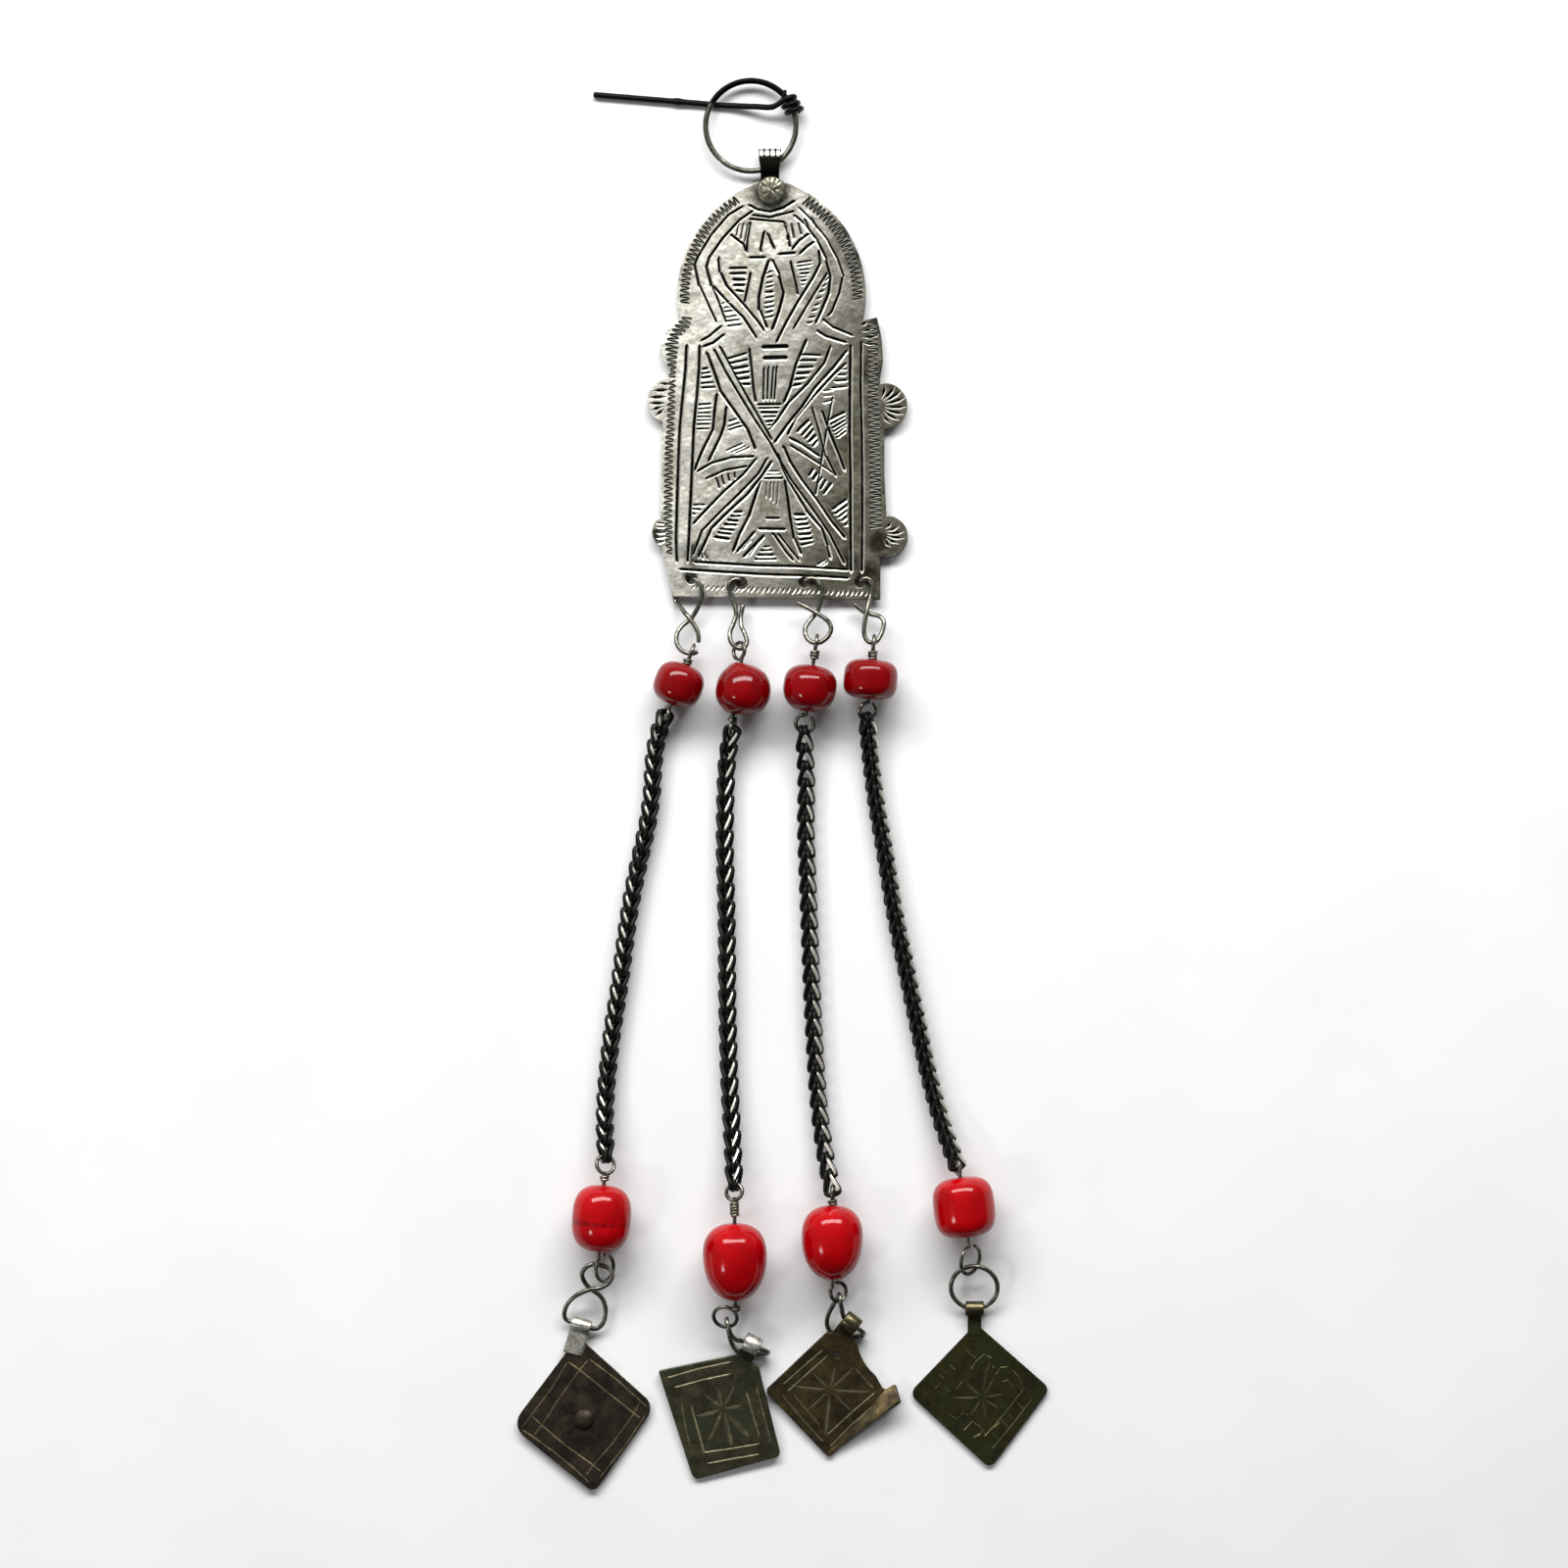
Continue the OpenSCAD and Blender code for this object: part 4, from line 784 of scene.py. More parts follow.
def makePin():
    look = topFittings
    path = [Vector(p) for p in look["pinPath"]]
    hinge, first, last, startTurn = (math.radians(look[key]) for key in
                                     ("hinge", "coilFrom", "coilTo", "coilStart"))
    out, along = Vector((math.cos(hinge), math.sin(hinge), 0)), Vector((-math.sin(hinge), math.cos(hinge), 0))
    steps = int(18 * look["coilTurns"])
    for k in range(steps + 1):
        share = k / steps
        around = first + (last - first) * share
        turn = startTurn - math.tau * look["coilTurns"] * share
        # the coil is straight along the joint's axis, so that it turns in place
        path.append(Vector(look["ringAt"]) + look["ringRadius"] * (out + (around - hinge) * along)
                    + look["coilRadius"] * (math.cos(turn) * out + math.sin(turn) * Vector((0, 0, 1))))
    smooth = smoothPath(path, 3)
    coilBegins = 3 * (len(look["pinPath"]) - 1)
    scales = []
    for k, p in enumerate(smooth):
        swell = look["knotSwell"] * math.exp(-((p - Vector(look["knotAt"])).length / look["knotSize"]) ** 2)
        size = (1 + swell + 0.04 * noise.noise(p / 1.7)) * (look["coilWire"] / look["pinWire"]
                                                            if k > coilBegins else 1)
        scales.append(size * min(1, 0.45 + 0.55 * (len(smooth) - 1 - k) / 9))  # the coil's end is filed thin
    bm = sweep(smooth, circleSection(look["pinWire"], look["sides"]), scales=scales, roundEnd=0.22)
    addTo(bm, sweep(smoothPath(look["nub"], 4), circleSection(look["nubWire"], 10), roundEnd=0.3))
    finishPiece(bm, "pin_wire", [pinBlack], "pin", "blackened_wire", "hook_pin")


def makeBail():
    look = topFittings
    half, across = look["strap"] / 2, 24
    section = [(-0.5, -half), (0.5, -half)]
    for k in range(across + 1):
        share = k / across
        reed = look["reedDepth"] * (abs(math.sin(math.pi * look["reeds"] * share)) - 1)
        section.append((0.5 - share, half + reed))
    middle = smoothPath([(look["bailX"], y, z) for y, z, _ in look["bailPath"]], 3)
    widths = smoothPath([(w, 0, 0) for _, _, w in look["bailPath"]], 3)
    bm = sweep(middle, section, scales=[(w.x, 1) for w in widths], side=(1, 0, 0))
    finishPiece(bm, "bail_strap", [bailSilverHighlit], "ornament", "worn_silver", "bail", sharp=50)


def makeRivet():
    look = topFittings
    radius, low, high = look["discRadius"], look["discLow"], look["discHigh"]
    outline = [(0, low), (radius - 0.15, low), (radius, low + 0.12), (radius, high - 0.28),
               (radius - 0.1, high - 0.1), (radius - 0.32, high + 0.02), (radius - 0.7, high + 0.03),
               (1.0, high + 0.1), (0, high + 0.12)]
    bm = spinMesh([(r, 0, z) for r, z in outline], (0, 0, 1), 96, closed=False)
    bmesh.ops.subdivide_edges(bm, edges=bm.edges, cuts=1, use_grid_fill=True)
    bmesh.ops.recalc_face_normals(bm, faces=bm.faces)
    for v in bm.verts:
        if v.co.z > high - 0.3:
            heading = math.degrees(math.atan2(v.co.y, v.co.x))
            share = ramped(min(heading - 25, 155 - heading), 0, 12) * ramped(v.co.xy.length, 1.5, 0.6)
            flute = 0.5 + 0.5 * math.cos(math.radians(heading) * look["flutes"])
            v.co.z -= look["fluteDepth"] * share * flute
            for x, y in look["hammerMarks"]:
                v.co.z -= look["markDepth"] * math.exp(-((v.co.x - x) ** 2 + (v.co.y - y) ** 2) / 0.07)
            v.co.z += look["uneven"] * noise.noise(v.co / 0.9)
    for lowRadius, highRadius, bottom, top, sides in look["shank"]:
        bmesh.ops.create_cone(bm, cap_ends=True, segments=sides, radius1=lowRadius, radius2=highRadius,
                              depth=top - bottom, matrix=Matrix.Translation((0, 0, (bottom + top) / 2)))
    bmesh.ops.translate(bm, vec=(*look["rivetAt"], 0), verts=bm.verts)
    finishPiece(bm, "rivet_disc", [rivetSilver], "ornament", "worn_silver", "rivet", sharp=40)


makeRing()
makePin()
makeBail()
makeRivet()
print("ring, pin, bail and rivet made")


# Engraving: strokes cut into a face as tapered V grooves

engravingLight = (-0.3, 0.95)


def strokeSolid(points, width, depth, taper, lean, top):
    # A V section is swept along the stroke, and its ends run out to nothing over the taper length
    path = [Vector((x, y, 0)) for x, y in points]
    taper = min(taper, 0.45 * sum((b - a).length for a, b in zip(path, path[1:])))
    dense = [path[0]]
    for a, b in zip(path, path[1:]):
        pieces = max(1, round((b - a).length / 1.6))
        dense += [a.lerp(b, (k + 1) / pieces) for k in range(pieces)]
    start = dense[0].lerp(dense[1], min(1, taper / (dense[1] - dense[0]).length) * 0.999)
    stop = dense[-1].lerp(dense[-2], min(1, taper / (dense[-2] - dense[-1]).length) * 0.999)
    spots = [dense[0], start] + (dense[1:-1] if len(dense) > 2 else []) + [stop, dense[-1]]
    spots = [p + Vector((0, 0, top)) for p in spots]
    slope, lift = depth / (width / 2), 0.12  # the cutter reaches this far above the face
    ahead = Vector(points[-1]) - Vector(points[0])
    side = 1 if ahead.y * engravingLight[0] - ahead.x * engravingLight[1] > 0 else -1
    half = width / 2 + lift / slope
    section = [(half, lift), (-half, lift), (side * lean * width, -depth)]
    scales = [0.12] + [1.0] * (len(spots) - 2) + [0.12]
    up = Vector((0, 0, 1))
    places = []
    for spot, along, scale in zip(spots, directions(spots), scales):
        rows = Matrix((along.cross(up).normalized(), up, along)).transposed().to_4x4()
        places.append(Matrix.Translation(spot) @ rows @ Matrix.Diagonal((scale, scale, 1, 1)))
    bm = sweepPlaces(places, section)
    for face in bm.faces:  # the wall that faces away from the light gets the dark copy as painted shade, the other wall the pale lit copy
        face.material_index = 0 if face.normal.xy.dot(Vector(engravingLight)) > 0 else 1
    return bm


def cells(points, width, size=0.25):
    # The squares of a grid that a stroke covers, so that strokes which cross go into different batches
    covered, reach = set(), width / 2 + 0.3
    for (x1, y1), (x2, y2) in zip(points, points[1:]):
        steps = max(1, int(math.hypot(x2 - x1, y2 - y1) / size))
        for k in range(steps + 1):
            x, y = x1 + (x2 - x1) * k / steps, y1 + (y2 - y1) * k / steps
            span = range(-int(reach / size) - 1, int(reach / size) + 2)
            covered.update((int(x // size) + i, int(y // size) + j) for i in span for j in span
                           if math.hypot(i, j) * size <= reach + size)
    return covered


def carve(bm, strokes, top, materials, tilt=Matrix()):
    # Each batch holds strokes that stay apart, and is cut out of the sheet as one solid
    batches = []
    for stroke in strokes:
        covered = cells(stroke[0], stroke[1])
        batch = next((each for each in batches if not each["cells"] & covered), None)
        if not batch:
            batch = {"cells": set(), "bm": bmesh.new()}
            batches.append(batch)
        batch["cells"] |= covered
        addTo(batch["bm"], strokeSolid(*stroke, top))
    sheet = newObject("sheet", bm, materials)
    gravers = []
    for batch in batches:
        bmesh.ops.transform(batch["bm"], matrix=tilt, verts=batch["bm"].verts)
        gravers.append(newObject("graver", batch["bm"], materials[1:]))
        cut = sheet.modifiers.new("cut", "BOOLEAN")
        cut.object, cut.operation = gravers[-1], "DIFFERENCE"
        cut.solver, cut.material_mode = "MANIFOLD", "TRANSFER"
    carved = bmesh.new()
    carved.from_mesh(sheet.evaluated_get(bpy.context.evaluated_depsgraph_get()).data)
    for thing in gravers + [sheet]:
        bpy.data.objects.remove(thing)
    print("  strokes", len(strokes), "batches", len(batches), "faces", len(carved.faces))
    return carved


def hatch(first, last, count, width, shake=0.12):
    rows = []
    for k in range(count):
        share = k / max(count - 1, 1)
        x1, y1, x2, y2 = (a + (b - a) * share + random.uniform(-shake, shake) for a, b in zip(first, last))
        rows.append(([(x1, y1), (x2, y2)], width * random.uniform(0.85, 1.15), 0.27 * width, 0.5, -0.05))
    return rows


def alongLine(line, share):
    spans = [math.dist(a, b) for a, b in zip(line, line[1:])]
    goal = share * sum(spans)
    for (a, b), span in zip(zip(line, line[1:]), spans):
        if goal <= span:
            return (a[0] + (b[0] - a[0]) * goal / span, a[1] + (b[1] - a[1]) * goal / span)
        goal -= span
    return line[-1]


def zigzag(inner, outer, pitch, shake=0.08):
    count = int(sum(math.dist(a, b) for a, b in zip(outer, outer[1:])) / pitch)
    rows = []
    for k in range(2 * count):
        lines = (outer, inner) if k % 2 else (inner, outer)
        ends = [alongLine(line, (k + step) / (2 * count)) for step, line in enumerate(lines)]
        points = [(x + random.uniform(-shake, shake), y + random.uniform(-shake, shake)) for x, y in ends]
        rows.append((points, *plateArt["zigzag"]))
    return rows


def arcLine(centre, radius, first, last, steps=12):
    turns = [math.radians(first + (last - first) * k / steps) for k in range(steps + 1)]
    return [(centre[0] + radius * math.cos(turn), centre[1] + radius * math.sin(turn)) for turn in turns]


plateArt = {
    "line": 0.82, "lineDepth": 0.23, "taper": 0.6, "wedge": 0.84, "top": 1.85, "edge": 0.14,
    # the width, depth, taper length and lean of a zigzag's strokes
    "zigzag": (0.52, 0.16, 0.35, -0.36),
    # long cuts: the frame, the arch band, the shoulders, the crossing bands, the two vases and the leaves
    "lines": [
        [(-17, 78.6), (-17.2, 74), (-17.7, 69), (-18.2, 63.9), (-18.5, 57.2), (-18.7, 50.5), (-18.9, 43.8),
         (-18.7, 39.1)],
        [(-14.7, 78.5), (-14.8, 74), (-15.2, 69), (-15.7, 63.9), (-16, 57.2), (-16.3, 50.5), (-16.6, 43.8),
         (-16.9, 39.1)],
        [(12.2, 78.6), (12.1, 70.6), (12.05, 62.6), (12.2, 53.9), (12.2, 45.5), (12.3, 37.4)],
        [(14.1, 79.3), (14, 70.6), (14.2, 62.6), (14.3, 53.9), (14.3, 45.5), (14.2, 37.4)],
        [(-16.1, 39.6), (-11, 39.3), (-4.3, 38.9), (2.5, 38.8), (12.2, 38.2)],
        [(-18.7, 38.3), (-11, 37.8), (-2.6, 37.3), (5.8, 37.1), (12.2, 36.7)],
        [(-14.8, 78.8), (-13, 79.8), (-10.5, 81.9)],
        [(-14.5, 77.8), (-12.3, 78.6), (-10, 80.4)],
        [(7, 83.1), (9.1, 81.4), (13, 79.8)],
        [(5.8, 81.1), (7.8, 79.8), (11.8, 78.6)],
        [(-6.6, 103.2), (-9.6, 101.4), (-12.6, 97.9), (-15.1, 93.8), (-15.6, 92.5), (-14.8, 88.8),
         (-13.3, 85.5), (-11.6, 81.8)],
        [(-4.9, 102.4), (-7.6, 100.5), (-10.6, 97.2), (-13, 93.8), (-13.5, 92.2), (-12.6, 88.8), (-11.3, 85.5),
         (-9.9, 81.8)],
        [(2.6, 103), (5.1, 100.5), (7.8, 97.2), (9.8, 93.5), (10.8, 90.5), (10.2, 87.5), (8.8, 84.1),
         (7.8, 83.1)],
        [(1.8, 101.6), (4.1, 99.5), (6.1, 96.9), (7.8, 93.5), (8.6, 90.5), (8.3, 87.5), (7.1, 84.5),
         (5.8, 81.8)],
        [(-6.3, 103.4), (-4.4, 102.4), (-2.2, 102), (0.2, 102.7), (2.6, 104.2)],
        [(-5.8, 101.5), (-2.2, 101), (2.5, 102.2)],
        [(-2.2, 93.8), (-3.4, 90.2), (-4.1, 86.8), (-4.1, 84.5), (-2.6, 80.8)],
        [(-2.1, 93.8), (-0.6, 90.8), (0.3, 87.5), (-0.6, 84.1), (-1.9, 80.6)],
        [(-12.6, 89.1), (-9.9, 86.1), (-6.9, 83.1), (-4.3, 79.1)],
        [(-11.3, 94.2), (-11, 91.2), (-9.9, 88.8), (-6.9, 85.5), (-4.3, 82.4), (-2.9, 80.4)],
        [(-5.6, 91.5), (-5.9, 89.5), (-6.8, 85.5)],
        [(1.4, 93.5), (2.4, 89.5), (2.9, 86.8)],
        [(6.5, 95.5), (6.8, 92.8), (5.5, 90.2), (2.9, 86.1), (0.8, 82.4), (-1.2, 78.4)],
        [(8.3, 91.5), (5.8, 87.5), (3.4, 83.5), (1.8, 80.8)],
        [(-6.2, 100.5), (-5.6, 100.7), (0.1, 100.2), (1, 99.6)],
        [(-5.6, 100.5), (-6.2, 97), (-6.3, 94.2)],
        [(0.2, 100.1), (1.1, 97.5), (1.5, 95.2)],
        [(-3.1, 98.9), (-3.8, 95.5), (-3.7, 94.3)],
        [(-2.7, 98.5), (-1.9, 96.4), (-1.1, 94.9)],
        [(-9.6, 98.2), (-6.9, 96.2), (-6.3, 94.5)],
        [(5.3, 98.5), (3.1, 96.9), (1.5, 95)],
        [(6.1, 96.9), (4.5, 95.8), (2.8, 94.2)],
        [(-1.1, 94.4), (2.8, 94.7)],
        [(-6.3, 93.8), (-2.6, 93.9)],
        [(-12.3, 77.8), (-10, 73.3), (-7.6, 69.3), (-4.9, 64.9), (-2.2, 60.9), (-0.9, 58.5), (1.4, 54.5),
         (4.1, 50.8), (6.5, 47.5), (8.5, 44.5), (11.3, 38.9)],
        [(-11.3, 78.3), (-8.9, 74), (-6.6, 69.6), (-3.9, 64.9), (-1.6, 60.9)],
        [(-13.6, 77.3), (-12, 73), (-11, 70), (-9, 67.2), (-6.2, 63.2), (-4.6, 59.2)],
        [(0.1, 60.6), (1.4, 57.5), (3.5, 54.2), (6.1, 50.8), (8.8, 46.8), (11.5, 43.5)],
        [(-0.9, 59.2), (0.1, 56.2), (1.1, 54.2), (2.5, 51.8), (4.5, 48.5), (7.1, 45.5), (8.1, 42.5),
         (8.8, 39.8)],
        [(11.8, 77.6), (9.2, 74.3), (5.8, 70.6), (3.5, 67.2), (0.8, 63.9), (-1.6, 60.5)],
        [(8.8, 78.5), (7.5, 75), (4.5, 71.3), (1.1, 67.9), (-0.9, 64.9), (-2.6, 62.9)],
        [(11.7, 75.3), (9.2, 73), (5.8, 69.3), (2.4, 65.2), (0.8, 61.9)],
        [(-4.3, 58.4), (-6.9, 55.2), (-10.3, 52.2), (-13.6, 48.8), (-16.1, 46.1)],
        [(-2.4, 58.5), (-4.3, 55.2), (-7.6, 51.8), (-11, 48.5), (-14.3, 45.1), (-16, 40.5)],
        [(-1.6, 57.9), (-3.6, 54.9), (-6.3, 51.5), (-9.6, 48.5), (-12.6, 45.5), (-15.1, 40.1)],
        [(-5.9, 78), (-5.4, 74), (-5.1, 70.6), (-4.6, 67.6)],
        [(4.5, 79.6), (2.4, 74.6), (1.4, 70.6), (0.1, 67.6)],
        [(-4.9, 67.6), (0.3, 67.7)],
        [(-3.7, 54.5), (-4.6, 51.8), (-5.9, 47.8), (-7.6, 44.5), (-8.9, 41.1)],
        [(0.4, 54.5), (1.1, 50.5), (1.4, 47.8), (2.1, 43.8), (3.5, 40.5)],
        [(-3.8, 54.5), (0.5, 54.5)],
        [(-3.3, 47.4), (0, 47.4)],
        [(-4.6, 45.5), (1, 45.4)],
        [(-4.6, 45.3), (-8.4, 41)],
        [(-2.9, 44.6), (-7.2, 40.2)],
        [(-1.9, 45.1), (0.8, 41.2), (2.3, 39.5)],
        [(-0.9, 44.9), (1.4, 41.9), (3.3, 39.6)],
        [(-11.6, 69.9), (-12, 66.6), (-12.3, 63.2), (-14.3, 59.2), (-15.8, 55.5)],
        [(-9.9, 67.6), (-10.3, 63.9), (-11, 61.9), (-13.3, 57.2)],
        [(-15.5, 55.5), (-12.6, 57.2), (-8.9, 58.2), (-4.6, 58.4)],
        [(-14, 54.2), (-10.3, 55.9), (-5.9, 56.7)],
        [(5.3, 67.6), (6.8, 62.6), (7.8, 58.5), (9.8, 54.5)],
        [(7, 66.9), (8.5, 62.6), (10.2, 58.5), (11.3, 55.5)],
        [(0.9, 61.9), (3.5, 60.6), (7, 58.2)],
        [(1.1, 60.6), (4.5, 58.5), (9.5, 55.2)],
    ],
    # groups of short cuts: first stroke, last stroke, how many, width
    "hatches": [
        ((-3.2, 91, -1.3, 91.4), (-3.4, 83, -1.2, 83.4), 10, 0.72),
        ((-9.9, 91.8, -5.9, 92), (-8.6, 87.9, -6.5, 87.8), 5, 0.9),
        ((2.3, 92.9, 5.7, 93.3), (3.2, 88.8, 4.3, 89), 7, 0.72),
        ((7.2, 89.5, 8.5, 90.3), (4, 82, 5.8, 82.3), 8, 0.72),
        ((-11, 85.6, -9, 86), (-10.2, 81.5, -6.8, 82), 6, 0.65),
        ((-7.5, 100.2, -8.2, 97.4), (-5.9, 100.4, -6.6, 96.2), 3, 0.58),
        ((0.6, 99.8, 1.1, 96.4), (5, 101.3, 6.2, 98.7), 5, 0.72),
        ((-3.9, 77.8, 1.3, 78), (-3.8, 75.8, 1.1, 76), 2, 1.09),
        ((-3.1, 74.5, -3.4, 68), (-0.8, 74.8, -1.4, 68), 4, 0.72),
        ((-4.5, 66.9, 0, 67), (-3, 63.8, -1.6, 64), 5, 0.86),
        ((-10.3, 75.6, -6, 76.8), (-7.6, 71.3, -5.3, 71.3), 6, 0.84),
        ((2.9, 76.5, 7.3, 76.4), (1.4, 70.9, 3.8, 71.4), 6, 0.86),
        ((-14.7, 73.8, -13, 74.1), (-14.8, 70.6, -11.6, 70.8), 5, 0.79),
        ((-15.4, 67.6, -12.3, 67.7), (-15.6, 63.2, -12.6, 63.3), 7, 0.72),
        ((-9.9, 64.4, -7.6, 65.2), (-9.9, 62.9, -6.5, 63.9), 3, 0.72),
        ((-11.9, 54.9, -11.1, 52.2), (-8.6, 55.9, -8.3, 54.2), 4, 0.72),
        ((-16.3, 49.8, -13.4, 49.7), (-16.4, 48.1, -15, 48), 3, 0.72),
        ((-10.3, 59.2, -6.9, 60.9), (-8.6, 58.9, -5.5, 60), 3, 0.65),
        ((7.9, 64.6, 11.5, 66.3), (9.5, 61.5, 11.7, 63.3), 6, 0.86),
        ((2.5, 62.6, 5, 65.2), (5.2, 59.9, 6.6, 61.5), 5, 0.86),
        ((10, 74, 11.8, 74), (8.5, 70.6, 11.8, 70.8), 4, 0.72),
        ((4.6, 54.7, 5.8, 56.5), (7.3, 51.4, 9, 53.9), 5, 0.86),
        ((8.7, 48.8, 11.8, 50.9), (10.8, 45.8, 11.8, 46.8), 5, 0.86),
        ((6, 51.3, 9, 69.2), (8, 68.3, 11, 69.6), 1, 0.72),
        ((-3.3, 55.7, -0.2, 55.7), (-3.6, 55.1, 0, 55.1), 2, 0.58),
        ((-2.7, 54.1, -2.9, 50.8), (-0.7, 54.1, -0.9, 49.5), 4, 0.48),
        ((-9, 48.4, -6.7, 48.6), (-12.5, 44, -9, 43.6), 7, 0.86),
        ((1.8, 47.9, 4.5, 48), (3, 42.5, 5.9, 43), 7, 0.86),
        ((-3.6, 42.3, -1.9, 42.3), (-5.3, 40.1, -0.6, 40.1), 4, 0.79),
        ((-5.5, 43.9, -7.3, 41.5), (-3.6, 44, -6.2, 40.4), 2, 0.72),
        ((5.9, 38.9, 8, 40.1), (6.6, 38.7, 8.3, 39.8), 2, 0.72),
        ((-14.6, 41.5, -13.9, 39.9), (-14, 41.3, -13.2, 39.7), 2, 0.72),
        ((7, 70, 9.5, 70.2), (7, 68, 9.3, 68.4), 3, 0.58),
        ((-22.6, 46.6, -20.6, 46.4), (-22.3, 42.8, -20.6, 43.4), 5, 0.58),
    ],
    # slanted notches along the lower edge
    "notches": [((-16.3, 34.5, -15.6, 35.8), (-10, 34.3, -9.4, 35.5), 8, 0.5),
                ((-9.2, 34.1, -8.5, 35.4), (2.6, 33.8, 3.3, 35.2), 14, 0.52),
                ((3.5, 33.8, 4.2, 35), (16.4, 33.3, 16.9, 34.5), 16, 0.48)],
    # cuts that fan out over the round lobes, from the root to the rim
    "fans": [(-19.8, 71.3, -22, 71.4), (-20, 70.3, -23.2, 70.1), (-20.5, 69.1, -23.8, 68.9),
             (-20.7, 67.9, -24, 67.9), (-21.2, 67.4, -23.5, 66.6), (-21, 66.9, -22.7, 65.6),
             (17.7, 68.6, 18.4, 71.4), (18, 68.4, 20.2, 71), (18.2, 68.1, 21.4, 70.2), (18.3, 67.7, 22, 68.9),
             (18.3, 67.2, 22.2, 67.3), (18.2, 66.8, 21.8, 65.9), (18, 66.4, 21, 64.8), (17.7, 66.1, 19.4, 64.1),
             (18.3, 45.4, 19.6, 46.9), (18.5, 45, 21, 46), (18.6, 44.6, 21.8, 45), (18.6, 44.2, 21.8, 43.8),
             (18.4, 43.8, 20.9, 42.8), (18.1, 43.5, 19.4, 42.2),
             (13.8, 81.6, 15.4, 82.6), (14, 80.6, 16.6, 81.4), (14.2, 79.6, 17.2, 79.9),
             (14.2, 78.6, 17.2, 78.4)],
    # zigzag borders: inner line, outer line, pitch
    "borders": [
        (arcLine((2.8, 87.1), 19.2, 122, 184), arcLine((2.8, 87.1), 21.15, 122, 184), 0.92),
        (arcLine((-6.6, 87.1), 19, 58, -2), arcLine((-6.6, 87.1), 21.15, 58, -2), 0.88),
        ([(-15.9, 83), (-16.4, 81.4), (-18.2, 79.6), (-18.6, 76), (-18.9, 72.6)],
         [(-17.6, 83.6), (-19.6, 81.4), (-21, 78.6), (-20.6, 75.4), (-20.6, 72.4)], 0.9),
        ([(-18.9, 72), (-19, 66), (-19.3, 60), (-19.4, 54), (-19.5, 47), (-19.5, 41)],
         [(-20.3, 72), (-20.6, 66), (-21, 60), (-21.1, 54), (-21.3, 47), (-20.7, 41)], 0.96),
        ([(15, 82.4), (15.1, 78), (15.1, 72), (15.1, 66), (15.3, 60), (15.4, 54), (15.4, 48), (15.4, 45.6)],
         [(17, 82.4), (17.3, 78), (17.3, 72), (17.6, 66), (17.6, 60), (17.8, 54), (17.9, 48),
          (18, 45.6)], 0.88),
    ],
}


def makePlate():
    random.seed(11)
    art = plateArt
    # a stroke is its points, width, depth, taper length and the lean of its bottom
    strokes = [(line, art["line"] * random.uniform(0.88, 1.12), art["lineDepth"], art["taper"], -0.1)
               for line in art["lines"]]
    for group in art["hatches"] + art["notches"]:
        strokes += hatch(*group)
    for wedge in art["fans"]:
        strokes.append(([wedge[:2], wedge[2:]], art["wedge"], 0.26 * art["wedge"], 1.2, -0.22))
    for border in art["borders"]:
        strokes += zigzag(*border)
    materials = (plateSilver, shadedCuts, litCuts)
    carved = carve(nodeMesh("plate", art["edge"]), strokes, art["top"], materials)
    finishPiece(carved, "plate_silver", materials, "ornament", "engraved_silver", "plate", sharp=35,
                flatUp=Vector((0, 0, 1)))


makePlate()
print("plate engraved")


# Pendants: bevelled sheets with borders and stars cut by a graver

